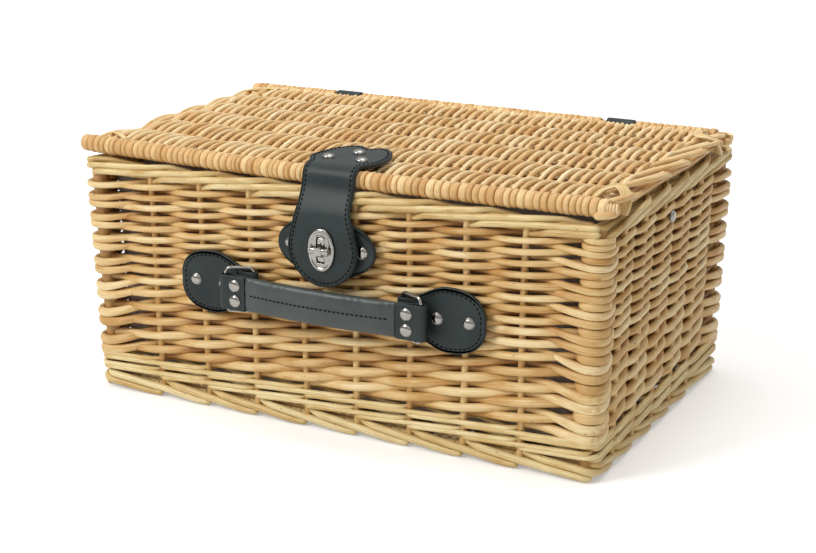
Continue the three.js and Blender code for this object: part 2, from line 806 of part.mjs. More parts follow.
// The hanging flap bows out over the rim to the lock's plane; its width changes down its length,
// and it ends in a half round.
function claspFlap() {
  const startInner = -frontRailY + strapInner;
  const lockZone = lockHeight + lockPlateHeight / 2 + 6;
  const roundFrom = flapBottom + flapWidth / 2;
  const heights = [];
  for (let i = 0; i < 4; i += 1) heights.push(THREE.MathUtils.lerp(flapTop, lockZone, i / 4));
  for (let i = 0; i < 3; i += 1) heights.push(THREE.MathUtils.lerp(lockZone, roundFrom, i / 3));
  for (let i = 0; i <= 9; i += 1) {
    heights.push(flapBottom + (flapWidth / 2) * (1 - Math.sin((i / 9) * Math.PI * 0.485)));
  }
  const loops = heights.map((z) => {
    const down = Math.min(1, (flapTop - z) / (flapTop - lockZone));
    const inner = -THREE.MathUtils.lerp(startInner, flapInner, Math.sin((down * Math.PI) / 2));
    const flare = THREE.MathUtils.smoothstep(flapTop - z, 12, flapTop - roundFrom);
    const below = Math.max(0, roundFrom - z);
    const half = z > roundFrom
      ? THREE.MathUtils.lerp(claspNeckWidth, flapWidth, flare) / 2
      : Math.sqrt(Math.max(0, (flapWidth / 2) ** 2 - below ** 2));
    return [
      new THREE.Vector3(frontCentreX - half, inner, z),
      new THREE.Vector3(frontCentreX + half, inner, z),
      new THREE.Vector3(frontCentreX + half, inner - leather, z),
      new THREE.Vector3(frontCentreX - half, inner - leather, z),
    ];
  });
  const opening = facingFront(extruded(slotShape(slotWidth + 1.6, slotHeight + 1.6), leather * 4, 3));
  opening.translate(frontCentreX, -flapInner + leather * 1.5, lockHeight);
  return cut(loft(loops), opening);
}

function eyeletPlate() {
  const shape = ellipseShape(lockPlateWidth, lockPlateHeight);
  shape.holes.push(new THREE.Path(slotShape(slotWidth, slotHeight).getPoints(3)));
  const plate = facingFront(extruded(shape, lockPlateThickness, 10));
  return plate.translate(frontCentreX, -eyeletInner, lockHeight);
}

addPiece("clasp_flap", claspFlap(), ...colours.leather);
addPiece("lock_eyelet", eyeletPlate(), ...metal);

// The strap's part on the lid: a two-lobed plate that narrows to the neck over the front rail.
const plateBottom = railHeight + strapInner;
const claspRivets = [[-14.5, 15.5], [14.5, 15.5], [0, 37]];

function claspStrap() {
  const neck = claspNeckWidth / 2;
  const wide = claspPlateWidth / 2;
  const back = claspPlateLength;
  const shape = new THREE.Shape();
  shape.moveTo(-neck, 0);
  shape.bezierCurveTo(-neck - 1, 7, -wide, 8, -wide, 17);
  shape.bezierCurveTo(-wide, 34, -wide * 0.75, back, -wide * 0.42, back);
  shape.bezierCurveTo(-wide * 0.2, back, -wide * 0.16, back - claspPlateDip, 0, back - claspPlateDip);
  shape.bezierCurveTo(wide * 0.16, back - claspPlateDip, wide * 0.2, back, wide * 0.42, back);
  shape.bezierCurveTo(wide * 0.75, back, wide, 34, wide, 17);
  shape.bezierCurveTo(wide, 8, neck + 1, 7, neck, 0);
  const holes = claspRivets.map(([x, y]) => (
    drill(rivetShankRadius + fitGap, -1, leather + 1).translate(x, y, 0)
  ));
  const plate = cut(extruded(shape, leather, 5), ...holes);
  plate.translate(0, frontRailY, plateBottom);
  const steps = 7;
  const loops = [];
  for (let i = 0; i <= steps; i += 1) {
    const angle = Math.PI / 2 + ((i / steps) * Math.PI) / 2;
    const across = (radius, x) => new THREE.Vector3(
      x,
      frontRailY + radius * Math.cos(angle),
      railHeight + radius * Math.sin(angle),
    );
    loops.push([
      across(strapInner, -neck),
      across(strapInner, neck),
      across(strapOuter, neck),
      across(strapOuter, -neck),
    ]);
  }
  return joined(plate, loft(loops)).translate(frontCentreX, 0, 0);
}

addPiece("clasp_strap", claspStrap(), ...colours.leather);
claspRivets.forEach(([x, y], i) => {
  const rivet = rivetGeometry(leather - fitGap);
  rivet.translate(frontCentreX + x, frontRailY + y, plateBottom + leather + fitGap);
  addPiece(`clasp_rivet_${["left", "right", "back"][i]}`, rivet, ...metal);
});

// The rails are round sticks wrapped edge to edge; the back one is bare inside the hinge straps.
function lidRail(bareAt) {
  const half = lidWidth / 2;
  const bareHalf = hingeStrapWidth / 2 + moveGap;
  const profile = [[0, -half], [railRadius - 1.5, -half], [railRadius, -half + 1.5]];
  for (const x of bareAt) {
    profile.push([railRadius, x - bareHalf], [railCore, x - bareHalf]);
    profile.push([railCore, x + bareHalf], [railRadius, x + bareHalf]);
  }
  profile.push([railRadius, half - 1.5], [railRadius - 1.5, half], [0, half]);
  const turned = new THREE.LatheGeometry(profile.map(([r, x]) => new THREE.Vector2(r, x)), 12);
  return turned.rotateZ(-Math.PI / 2).rotateX(Math.PI / 12);
}

addPiece("lid_front_rail", lidRail([]).translate(0, frontRailY, railHeight), ...colours.lidWillow);
addPiece("lid_back_rail", lidRail(hingeStrapX).translate(0, backRailY, railHeight), ...colours.lidWillow);

// The lid's weave: rods laid front to back that pass by turns over and under the cross sticks.
function lidPanel() {
  const half = lidWidth / 2 - sideBorderWidth - 2.4;
  const frontY = frontRailY + railRadius + fitGap;
  const backY = backRailY - railRadius - hingeStrapLeather;
  const rods = Math.round((2 * half) / lidRodPitch);
  const rows = lidStickCount + 2;
  const top = railHeight + lidPanelThickness / 2;
  const bottom = railHeight - lidPanelThickness / 2;
  const grid = [];
  for (let row = 0; row < rows; row += 1) {
    const y = THREE.MathUtils.lerp(frontY, backY, row / (rows - 1));
    const line = [];
    for (let i = 0; i <= rods; i += 1) {
      const edge = row === 0 || row === rows - 1 || i === 0 || i === rods;
      const drop = edge || (row + i) % 2 ? 2 * lidRodRise : 0;
      line.push(new THREE.Vector3(THREE.MathUtils.lerp(-half, half, i / rods), y, top - drop));
    }
    grid.push(line);
  }
  return reliefSlab(grid, [
    new THREE.Vector3(-half, frontY, bottom),
    new THREE.Vector3(half, frontY, bottom),
    new THREE.Vector3(half, backY, bottom),
    new THREE.Vector3(-half, backY, bottom),
  ]);
}

addPiece("lid_panel", lidPanel(), ...colours.lidWillow);

// A side border of the lid: the sticks' ends bent along the edge, one over the next.
function lidSideBorder(sign) {
  const clear = railRadius + tieThickness + 2 * fitGap;
  const fromY = frontRailY + clear;
  const toY = backRailY - clear;
  const steps = 2 * Math.round((toY - fromY) / sideBorderPitch);
  const centre = lidWidth / 2 - 2 - sideBorderWidth / 2;
  const loops = [];
  for (let i = 0; i <= steps; i += 1) {
    const y = THREE.MathUtils.lerp(fromY, toY, i / steps);
    const swell = i % 2 ? 1 : 0.84;
    loops.push(circle(8, 1).map((p) => new THREE.Vector3(
      sign * (centre + p.x * (sideBorderWidth / 2) * swell),
      y,
      railHeight + p.y * (lidPanelThickness / 2) * swell,
    )));
  }
  return loft(loops);
}

addPiece("lid_border_left", lidSideBorder(-1), ...colours.lidWillow);
addPiece("lid_border_right", lidSideBorder(1), ...colours.lidWillow);

// A cane tie: a few turns round the rail, beside its end.
function caneTie() {
  const inner = railRadius + fitGap;
  const outer = inner + tieThickness;
  const turn = tieWidth / tieTurns;
  const profile = [[inner, -tieWidth / 2], [outer - 0.3, -tieWidth / 2]];
  for (let k = 0; k < tieTurns; k += 1) {
    profile.push([outer, (k + 0.5) * turn - tieWidth / 2]);
    profile.push([outer - 0.3, (k + 1) * turn - tieWidth / 2]);
  }
  profile.push([inner, tieWidth / 2], [inner, -tieWidth / 2]);
  const turned = new THREE.LatheGeometry(profile.map(([r, x]) => new THREE.Vector2(r, x)), 10);
  return turned.rotateZ(-Math.PI / 2).rotateX(Math.PI / 10);
}

for (const [name, signX, y] of [
  ["front_left", -1, frontRailY],
  ["front_right", 1, frontRailY],
  ["back_left", -1, backRailY],
  ["back_right", 1, backRailY],
]) {
  const x = signX * (lidWidth / 2 - 2 - sideBorderWidth / 2);
  addPiece(`corner_tie_${name}`, caneTie().translate(x, y, railHeight), ...colours.paleWillow);
}

// A hinge strap: a leather loop round the bare rail, with a tail over the rim and down the back.
function hingeStrap() {
  const inner = railCore + moveGap;
  const outer = inner + hingeStrapLeather;
  const half = hingeStrapLeather / 2;
  const loop = new THREE.Shape();
  loop.absarc(0, 0, outer, 0, 2 * Math.PI, false);
  const hole = new THREE.Shape();
  hole.absarc(0, 0, inner, 0, 2 * Math.PI, false);
  const overRim = rimTop + fitGap + half - railHeight;
  const outY = halfDepth(rimTop) + fitGap + half - backRailY;
  const endY = halfDepth(hingeTailBottom) + fitGap + half - backRailY;
  const bend = hingeStrapBend;
  const tail = new THREE.Shape();
  tail.moveTo(0, overRim - half);
  tail.lineTo(outY - bend, overRim - half);
  tail.absarc(outY - bend, overRim - bend, bend - half, Math.PI / 2, 0, true);
  tail.lineTo(endY - half, hingeTailBottom - railHeight);
  tail.lineTo(endY + half, hingeTailBottom - railHeight);
  tail.lineTo(outY + half, overRim - bend);
  tail.absarc(outY - bend, overRim - bend, bend + half, 0, Math.PI / 2, false);
  tail.lineTo(4, overRim + half);
  tail.lineTo(0, overRim + half);
  const eye = extruded(hole, hingeStrapWidth + 2, 5).translate(0, 0, -1);
  const profile = cut(joined(extruded(loop, hingeStrapWidth, 6), extruded(tail, hingeStrapWidth, 3)), eye);
  // The profile was drawn in y and z, with the strap's width along +Z.
  return fromProfileToX(profile).translate(-hingeStrapWidth / 2, backRailY, railHeight);
}

// Turns x, y, z of a drawn profile into y, z, x of the basket.
function fromProfileToX(geometry) {
  return geometry.applyMatrix4(new THREE.Matrix4().set(0, 0, 1, 0, 1, 0, 0, 0, 0, 1, 0, 0, 0, 0, 0, 1));
}

// The outer face of a hinge strap's tail, which leans with the wall below its bend over the rim.
function hingeTailFace(z) {
  const bendEndZ = rimTop + fitGap + hingeStrapLeather / 2 - hingeStrapBend;
  const down = (bendEndZ - z) / (bendEndZ - hingeTailBottom);
  const wall = THREE.MathUtils.lerp(halfDepth(rimTop), halfDepth(hingeTailBottom), down);
  return wall + fitGap + hingeStrapLeather;
}

["left", "right"].forEach((side, i) => {
  const x = hingeStrapX[i];
  const holes = hingeRivets.map((z) => {
    const bit = drill(rivetShankRadius + fitGap, -2 * hingeStrapLeather, hingeStrapLeather);
    return facingBack(bit).translate(x, hingeTailFace(z), z);
  });
  addPiece(`hinge_strap_${side}`, cut(hingeStrap().translate(x, 0, 0), ...holes), ...colours.leather);
  hingeRivets.forEach((z, k) => {
    const rivet = facingBack(rivetGeometry(hingeStrapLeather - fitGap));
    rivet.translate(x, hingeTailFace(z) + fitGap, z);
    addPiece(`hinge_rivet_${side}_${k ? "upper" : "lower"}`, rivet, ...metal);
  });
});

function facingBack(geometry) {
  return geometry.rotateX(-Math.PI / 2);
}

// One rivet in each side wall.
["left", "right"].forEach((side, i) => {
  const sign = i ? 1 : -1;
  addPiece(`side_rivet_${side}`, placedOnSide(rivetGeometry(sideRivetShank), sign), ...metal);
});

// The frame's origin is under the middle of the whole part, on the ground.
const box = new THREE.Box3().setFromObject(basket);
const middle = box.getCenter(new THREE.Vector3());
basket.position.set(-middle.x, -middle.y, -box.min.z);
const part = new THREE.Group();
part.add(basket);

export default part;
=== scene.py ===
import math

import bpy
import numpy as np
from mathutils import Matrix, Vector


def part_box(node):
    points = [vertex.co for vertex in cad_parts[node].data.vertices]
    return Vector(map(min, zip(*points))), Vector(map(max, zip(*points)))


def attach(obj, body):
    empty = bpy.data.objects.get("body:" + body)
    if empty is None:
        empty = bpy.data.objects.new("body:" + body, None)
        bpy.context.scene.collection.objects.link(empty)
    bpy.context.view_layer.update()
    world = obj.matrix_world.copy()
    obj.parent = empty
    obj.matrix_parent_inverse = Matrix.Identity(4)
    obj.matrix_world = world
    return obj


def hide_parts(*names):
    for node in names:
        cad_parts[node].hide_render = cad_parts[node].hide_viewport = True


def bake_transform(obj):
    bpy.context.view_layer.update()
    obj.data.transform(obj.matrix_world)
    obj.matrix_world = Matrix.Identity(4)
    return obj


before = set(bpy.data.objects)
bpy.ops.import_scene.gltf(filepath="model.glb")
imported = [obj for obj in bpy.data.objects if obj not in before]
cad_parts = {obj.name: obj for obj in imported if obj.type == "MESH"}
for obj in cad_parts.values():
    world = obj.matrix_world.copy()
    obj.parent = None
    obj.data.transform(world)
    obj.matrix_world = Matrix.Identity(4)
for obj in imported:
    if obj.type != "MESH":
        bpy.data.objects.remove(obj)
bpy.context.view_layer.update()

# Everything below is worked out in millimetres about the middle of the rim, with +Z up from the
# ground and the front at -Y, and goes into the frame by this shift.
rimLow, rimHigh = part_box("rim_border")
rowShift = 1000 * (rimLow.y + rimHigh.y) / 2
upward, forward, backward = np.array([0, 0, 1.0]), np.array([0, -1.0, 0]), np.array([0, 1.0, 0])

plan = {"rimWidth": 460.0, "rimDepth": 292.0, "baseWidth": 449.0, "baseDepth": 286.0, "rimTop": 199.2,
        "corner": 12.0, "innerCorner": 4.0, "frontStakes": 8, "sideStakes": 5, "frontPitch": 47.0,
        "sidePitch": 45.0, "rightPitch": 42.6, "rightShift": -18.0, "arcShare": 0.25, "postHalf": 0.28}

# Places are counted anticlockwise from above: the front's stakes are 0 to 7, the front-right post
# is 8, then the right side's stakes, the next post, and so on to the front-left post, which is -1 too.
stakeCounts = np.array([plan["frontStakes"], plan["sideStakes"]] * 2)
sideStart = np.concatenate([[0], np.cumsum(stakeCounts + 1)[:-1]]) - 1
places = int(stakeCounts.sum()) + 4
frontLeft, frontRight, backRight, backLeft = (int(place) for place in sideStart)
posts = [frontLeft, frontRight, backRight, backLeft, places - 1]
shortSides = (frontRight, backLeft)
sidePitches = np.array([plan["frontPitch"], plan["rightPitch"], plan["frontPitch"], plan["sidePitch"]])
sideShifts = np.array([0.0, plan["rightShift"], 0.0, 0.0])
sideNormals = np.array([[0, -1], [1, 0], [0, 1], [-1, 0]], float)
sideRuns = np.array([[1, 0], [0, 1], [-1, 0], [0, -1]], float)

lid = {"frontRail": -134.0, "backRail": 122.0, "z": 208.0, "half": 232.5, "sag": 2.5, "rod": 2.12,
       "stick": 1.9, "pitch": 4.04, "sticks": (-102.0, -57.0, -13.0, 26.5, 66.5, 104.0),
       "group": (-4.3, 0.0, 4.3), "panelHalf": 213.0, "stickHalf": 214.0, "endInset": 4.0, "endRise": 3.6,
       "lift": 3.8, "hinges": (-129.0, 135.0), "hingeHalf": 12.5}


def smooth(t):
    # 3t squared less 2t cubed, held between 0 and 1
    t = np.clip(t, 0, 1)
    return t * t * (3 - 2 * t)


def bell(*terms):
    # e to minus the sum of the squares of (value less middle) over width
    return np.exp(-sum(((value - middle) / width) ** 2 for value, middle, width in terms))


def squared(value, power):
    # a power below 1 with the sign kept, which draws a circle out towards a square
    return np.sign(value) * np.abs(value) ** power


def around(count):
    # even angles once round
    return np.arange(count) * 2 * math.pi / count


def spots(x, y, z):
    # points from their coordinates, any of which may be one number for all
    return np.stack(np.broadcast_arrays(x, y, z), -1).astype(float)


def runOf(line):
    # how far along a line each of its points lies
    return np.concatenate([[0], np.cumsum(np.linalg.norm(np.diff(line, axis=0), axis=1))])


def unit(v):
    # a direction over its length
    return v / np.maximum(np.linalg.norm(v, axis=-1, keepdims=True), 1e-9)


def halfOf(across, z):
    # half the outer Width or Depth, growing evenly from the ground to the rim
    base, rim = plan["base" + across], plan["rim" + across]
    return (base + (rim - base) * np.clip(z, 0, None) / plan["rimTop"]) / 2


def planPoint(place, out, z):
    # A point of the rounded-rectangle plan: along a side in steps of the stake pitch, round the
    # corner's arc in the last share of a place at the post, and out millimetres from the outer face.
    place, out, z = np.broadcast_arrays(*(np.asarray(value, float) for value in (place, out, z)))
    wrapped = np.mod(place + 1, places) - 1
    side = np.clip(np.searchsorted(sideStart, wrapped, side="right") - 1, 0, 3)
    a = wrapped - sideStart[side]
    count, shift, arc = stakeCounts[side], sideShifts[side], plan["arcShare"]
    long = side % 2 == 0
    halfX, halfY = halfOf("Width", z), halfOf("Depth", z)
    alongHalf, acrossHalf = np.where(long, halfX, halfY), np.where(long, halfY, halfX)
    fullHalf = np.where(long, plan["rimWidth"], plan["rimDepth"]) / 2
    r = np.maximum(plan["corner"] + out, plan["innerCorner"])
    end = alongHalf + out - r
    half = (count - 1) / 2 * sidePitches[side] * alongHalf / fullHalf
    t = shift - half + np.clip(a - 1, 0, count - 1) / (count - 1) * 2 * half
    t = t + np.clip((a - count) / (1 - arc), 0, 1) * (end - half - shift)
    t = t - np.clip((1 - a) / (1 - arc), 0, 1) * (end - half + shift)
    turn = (np.clip((a - count - 1 + arc) / arc, 0, 1) - np.clip((arc - a) / arc, 0, 1)) * math.pi / 4
    along, across = t + r * np.sin(turn), acrossHalf + out - r + r * np.cos(turn)
    n, d = sideNormals[side], sideRuns[side]
    flat = across[..., None] * n + along[..., None] * d
    normal = np.cos(turn)[..., None] * n + np.sin(turn)[..., None] * d
    return np.concatenate([flat, z[..., None]], -1), np.concatenate([normal, 0 * z[..., None]], -1)


def circleSection(sides, high=1.0, wide=1.0, power=1.0):
    # a ring, squared by the power: high is its size away from the piece, wide its size across
    a = around(sides)
    return squared(np.stack([np.cos(a), np.sin(a)], 1), power) * np.array([high, wide])


def bandSection(thickness, width, edge):
    # a flat band with rounded edges, as a closed loop of (thickness, width) places
    h, w = thickness / 2 - edge, width / 2 - edge
    across = np.linspace(-1, 1, 9)[1:-1] * w
    corners = []
    for k, (sh, sw) in enumerate([(1, 1), (-1, 1), (-1, -1), (1, -1)]):
        t = np.linspace(0, math.pi / 2, 3) + k * math.pi / 2
        corners.append(np.stack([sh * h + edge * np.cos(t), sw * w + edge * np.sin(t)], 1))
    low = np.stack([np.full(7, -thickness / 2), across[::-1]], 1)
    high = np.stack([np.full(7, thickness / 2), across], 1)
    return np.concatenate([corners[0], corners[1], low, corners[2], corners[3], high])


def sweep(centres, outward, size, section, closed=False, cut=False, tone=0.5, start=0.0, press=None,
          pressed=None):
    # A section carried along centre lines: each of its points is the centre plus its first number
    # times the outward direction, squared to the line, plus its second times the direction across.
    # Where press is 1 the section is the pressed one, in millimetres, and between 0 and 1 a mix.
    centres = np.asarray(centres, float)
    if centres.ndim == 2:
        centres = centres[None]
    if isinstance(section, int):
        section = circleSection(section)
    outward = np.broadcast_to(outward, centres.shape)
    size = np.broadcast_to(np.asarray(size, float), centres.shape[:2])
    tone = np.asarray(tone, float)
    tone = np.broadcast_to(tone if tone.ndim == 2 else tone.reshape(-1, 1), centres.shape[:2])
    if not closed and not cut:
        # rounded ends: two more rings, smaller and a little further on
        for end, inner in ((0, 1), (-1, -2)):
            d = unit(centres[:, end] - centres[:, inner])[:, None]
            s = size[:, end][:, None]
            more = centres[:, end][:, None] + d * s[..., None] * np.array([0.6, 0.95])[None, :, None]
            grown, same = s * np.array([0.78, 0.3]), np.repeat(outward[:, end][:, None], 2, 1)
            pairs = [(centres, more), (size, grown), (outward, same)]
            if end == 0:
                pairs = [(added[:, ::-1], kept) for kept, added in pairs]
            centres, size, outward = (np.concatenate(pair, 1) for pair in pairs)
        tone = np.pad(tone, ((0, 0), (2, 2)), "edge")
        if press is not None:
            press, pressed = np.pad(press, 2), np.pad(pressed, ((2, 2), (0, 0), (0, 0)), "edge")
    rods, count, sides = *centres.shape[:2], len(section)
    if closed:
        tangent = unit(np.roll(centres, -1, 1) - np.roll(centres, 1, 1))
    else:
        tangent = unit(np.gradient(centres, axis=1))
    n1 = unit(outward - (outward * tangent).sum(-1, keepdims=True) * tangent)
    n2 = np.cross(tangent, n1)
    sec = section[None, None] * size[..., None, None]
    if press is not None:
        sec = sec + press[None, :, None, None] * (pressed[None] - sec)
    points = centres[:, :, None] + sec[..., :1] * n1[:, :, None] + sec[..., 1:] * n2[:, :, None]
    steps = np.linalg.norm(np.diff(centres, axis=1), axis=-1)
    run = np.concatenate([np.zeros((rods, 1)), np.cumsum(steps, 1)], 1) + np.reshape(start, (-1, 1))
    grain = np.concatenate([np.broadcast_to(run[..., None, None], sec.shape[:3] + (1,)), sec], -1)
    ring = np.arange(rods * count * sides).reshape(rods, count, sides)
    if closed:
        ring = np.concatenate([ring, ring[:, :1]], 1)
    turned = np.roll(ring, -1, 2)
    faces = [np.stack([ring[:, :-1], turned[:, :-1], turned[:, 1:], ring[:, 1:]], -1).reshape(-1, 4)]
    crease = np.full(rods * count * sides, -1)
    if not closed:
        faces += [ring[:, 0, ::-1], ring[:, -1]]
        if cut:
            ends = np.arange(rods)[:, None] * 2
            crease[ring[:, 0]], crease[ring[:, -1]] = ends, ends + 1
    return {"points": points.reshape(-1, 3), "faces": faces, "grain": grain.reshape(-1, 3), "crease": crease,
            "tone": np.broadcast_to(tone[..., None], (rods, count, sides)).reshape(-1)}


def stacked(rings, loop=False):
    # rings joined by quads, with a face over each end or the last joined to the first
    points = np.concatenate(rings)
    ring = np.arange(len(points)).reshape(len(rings), -1)
    walk = np.concatenate([ring, ring[:1]]) if loop else ring
    turned = np.roll(walk, -1, 1)
    quads = np.stack([walk[:-1], turned[:-1], turned[1:], walk[1:]], -1).reshape(-1, 4)
    return {"points": points, "faces": [quads] if loop else [quads, ring[:1, ::-1], ring[-1:]]}


def volumeOf(points, faces):
    # a sixth of the sum of the triple products of each face's fan of triangles
    total = 0.0
    for f in faces:
        for k in range(1, f.shape[1] - 1):
            total += (points[f[:, 0]] * np.cross(points[f[:, k]], points[f[:, k + 1]])).sum()
    return total / 6


def lidSag(points):
    # a cosine over the lid's width, growing evenly from the back rail to the front one
    side = np.cos(np.clip(points[:, 0] / lid["half"], -1, 1) * math.pi / 2)
    ahead = (lid["backRail"] - points[:, 1]) / (lid["backRail"] - lid["frontRail"])
    return lid["sag"] * side * np.clip(ahead, 0, 1)


def makePiece(name, parts, material, body=None, replaced=None):
    # One mesh from several closed parts, turned outwards, with each point's tone and its place
    # along and round its rod kept as attributes.
    points, faces, grain, tone, crease, base = [], [], [], [], [], 0
    for number, part in enumerate(parts):
        p, fs = part["points"], part["faces"]
        if volumeOf(p, fs) < 0:
            fs = [f[:, ::-1] for f in fs]
        points.append(p)
        faces += [f + base for f in fs]
        grain.append(part.get("grain", p))
        tone.append(part.get("tone", np.full(len(p), 0.5)))
        c = part.get("crease", np.full(len(p), -1))
        crease.append(np.where(c >= 0, c + number * 10000, -1))
        base += len(p)
    points, crease = np.concatenate(points), np.concatenate(crease)
    if body == "lid":
        points[:, 2] -= lidSag(points)
    mesh = bpy.data.meshes.new(name)
    mesh.vertices.add(len(points))
    world = (points + np.array([0, rowShift, 0])) * 0.001
    mesh.vertices.foreach_set("co", world.astype(np.float32).ravel())
    corners = np.concatenate([f.ravel() for f in faces])
    sizes = np.concatenate([np.full(len(f), f.shape[1]) for f in faces])
    mesh.loops.add(len(corners))
    mesh.loops.foreach_set("vertex_index", corners.astype(np.int32))
    mesh.polygons.add(len(sizes))
    starts = np.concatenate([[0], np.cumsum(sizes)[:-1]])
    mesh.polygons.foreach_set("loop_start", starts.astype(np.int32))
    mesh.polygons.foreach_set("loop_total", sizes.astype(np.int32))
    mesh.update(calc_edges=True)
    mesh.polygons.foreach_set("use_smooth", np.ones(len(sizes), bool))
    grains, tones = np.concatenate(grain).astype(np.float32), np.concatenate(tone).astype(np.float32)
    mesh.attributes.new("grain", "FLOAT_VECTOR", "POINT").data.foreach_set("vector", grains.ravel())
    mesh.attributes.new("tone", "FLOAT", "POINT").data.foreach_set("value", tones)
    if (crease >= 0).any():
        # an edge between two points of one cut end is sharp
        edges = np.empty(len(mesh.edges) * 2, np.int32)
        mesh.edges.foreach_get("vertices", edges)
        pair = crease[edges.reshape(-1, 2)]
        sharp = (pair[:, 0] >= 0) & (pair[:, 0] == pair[:, 1])
        mesh.attributes.new("sharp_edge", "BOOLEAN", "EDGE").data.foreach_set("value", sharp)
    mesh.materials.append(material)
    piece = bpy.data.objects.new(name, mesh)
    bpy.context.scene.collection.objects.link(piece)
    if body:
        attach(piece, body)
    if replaced:
        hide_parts(replaced)
    return piece


def colour(r, g, b):
    # screen values 0 to 255 turned into the shader's linear ones
    c = np.array([r, g, b]) / 255
    linear = np.where(c <= 0.04045, c / 12.92, ((c + 0.055) / 1.055) ** 2.4)
    return (*[float(x) for x in linear], 1.0)


def newMaterial(name):
    # a material with its node tree and its shader
    material = bpy.data.materials.new(name)
    material.use_nodes = True
    return material, material.node_tree, material.node_tree.nodes["Principled BSDF"]


def setInputs(tree, node, inputs):
    # a number or colour goes on the socket itself, and another node's socket is linked to it
    for key, value in inputs.items():
        if isinstance(value, bpy.types.NodeSocket):
            tree.links.new(value, node.inputs[key])
        else:
            node.inputs[key].default_value = value


def addNode(tree, kind, inputs=None, out=0, **settings):
    # a new node with its settings and inputs, given back as the output that is asked for
    node = tree.nodes.new("ShaderNode" + kind)
    for key, value in settings.items():
        setattr(node, key, value)
    setInputs(tree, node, inputs or {})
    return node.outputs[out]


def ramp(tree, factor, stops):
    # a colour ramp through screen colours at their places
    node = tree.nodes.new("ShaderNodeValToRGB")
    elements = node.color_ramp.elements
    while len(elements) < len(stops):
        elements.new(0.5)
    for element, (place, value) in zip(elements, stops):
        element.position = place
        element.color = colour(*value)
    tree.links.new(factor, node.inputs[0])
    return node.outputs[0]


def mapped(tree, value, to, source=(0.0, 1.0)):
    # a value carried evenly from one range to another
    return addNode(tree, "MapRange", {"Value": value, "From Min": source[0], "From Max": source[1],
                                      "To Min": to[0], "To Max": to[1]})


# Each layer over the willow's tone: its share where the look gives none, its texture, detail and
# stretch along and across the grain, and where its ramp runs from the layer's colour to white.
white = (255, 255, 255)
willowLayers = {"stain": (None, "TexNoise", 3.0, (0.028, 0.10, 0.10), 0.33, 0.52),
                "streak": (0.75, "TexNoise", 4.0, (0.05, 1.3, 1.3), 0.32, 0.56),
                "speck": (0.8, "TexVoronoi", 0.0, (0.055, 0.16, 0.16), 0.045, 0.075)}
# The dark low stops of the weaver and lid ramps also give the painted shade of deep rod stretches.
willowLooks = {
    "willow_weaver": {"tones": ((0.0, (158, 114, 60)), (0.2, (208, 168, 106)), (0.6, (232, 203, 146)),
                                (1.0, (243, 222, 174))), "stain": (222, 192, 140), "stainShare": 0.75,
                      "streak": (228, 208, 172), "speck": (96, 62, 30), "roughness": 0.44},
    "willow_pale": {"tones": ((0.0, (212, 178, 116)), (0.4, (226, 200, 142)), (1.0, (240, 222, 172))),
                    "stain": (226, 204, 156), "stainShare": 0.7, "streak": (224, 208, 170),
                    "speck": (104, 74, 38), "roughness": 0.45},
    # a darker copy of the pale willow: painted shade for the rail's shadow over the rim
    "willow_rim_shaded": {"tones": ((0.0, (198, 164, 102)), (0.4, (214, 185, 125)), (1.0, (232, 212, 160))),
                   "stain": (214, 184, 130), "stainShare": 0.8, "streak": (220, 202, 160),
                   "speck": (104, 74, 38), "roughness": 0.45},
    "willow_lid": {"tones": ((0.0, (150, 104, 54)), (0.28, (214, 174, 116)), (0.6, (234, 204, 150)),
                             (1.0, (248, 228, 186))), "stain": (228, 196, 150), "stainShare": 0.7,
                   "streak": (230, 210, 176), "speck": (110, 70, 36), "roughness": 0.48},
    "cane_tie": {"tones": ((0.0, (222, 194, 134)), (1.0, (244, 224, 176))), "stain": (232, 206, 158),
                 "stainShare": 0.6, "streak": (222, 200, 158), "speck": (130, 92, 50), "roughness": 0.4}}


def willowMaterial(name, look):
    # Peeled willow: each rod has its own tone from the ramp, lowered on the walls, floor and lid where
    # the rod lies deep as painted shade, multiplied by pale and brown stretches along it, fine streaks
    # along the grain and a few dark specks, with a little bump in its satin skin.
    material, tree, shader = newMaterial(name)
    grain = addNode(tree, "Attribute", out="Vector", attribute_name="grain")
    skin = ramp(tree, addNode(tree, "Attribute", out="Fac", attribute_name="tone"), look["tones"])
    patterns = {}
    for layer, (share, kind, detail, stretch, low, high) in willowLayers.items():
        spread = addNode(tree, "Mapping", {"Vector": grain, "Scale": stretch})
        patterns[layer] = addNode(tree, kind, {"Vector": spread, "Scale": 1.0, "Detail": detail})
        tint = ramp(tree, patterns[layer], ((low, look[layer]), (high, white)))
        skin = addNode(tree, "Mix", {0: share or look["stainShare"], 6: skin, 7: tint}, 2,
                       data_type="RGBA", blend_type="MULTIPLY")
    bump = addNode(tree, "Bump", {"Strength": 0.35, "Distance": 0.0004, "Height": patterns["streak"]})
    setInputs(tree, shader, {"Base Color": skin, "Roughness": look["roughness"], "Specular IOR Level": 0.42,
                             "Normal": bump})
    return material


willow, paleWillow, shadedRimWillow, lidWillow, cane = (willowMaterial(*item) for item in willowLooks.items())


def sheenMaterial(name, look):
    # Leather, thread and metal: a noise varies the tone and the gloss, and each of the bumps, given as
    # (texture, scale, detail, strength, depth), lies over the one before.
    material, tree, shader = newMaterial(name)
    place = addNode(tree, "TexCoord", out="Object")
    cloud = addNode(tree, "TexNoise", {"Vector": place, "Scale": look["scale"], "Detail": 3.0})
    skin = {}
    for kind, scale, detail, strength, depth in look["bumps"]:
        height = addNode(tree, kind, {"Vector": place, "Scale": scale, "Detail": detail})
        skin["Normal"] = addNode(tree, "Bump", {"Strength": strength, "Distance": depth, "Height": height,
                                                **skin})
    setInputs(tree, shader, {"Base Color": ramp(tree, cloud, ((0.3, look["dark"]), (0.7, look["light"]))),
                             "Roughness": mapped(tree, cloud, look["gloss"]), "Metallic": look["metallic"],
                             "Specular IOR Level": look["specular"], **skin})
    return material


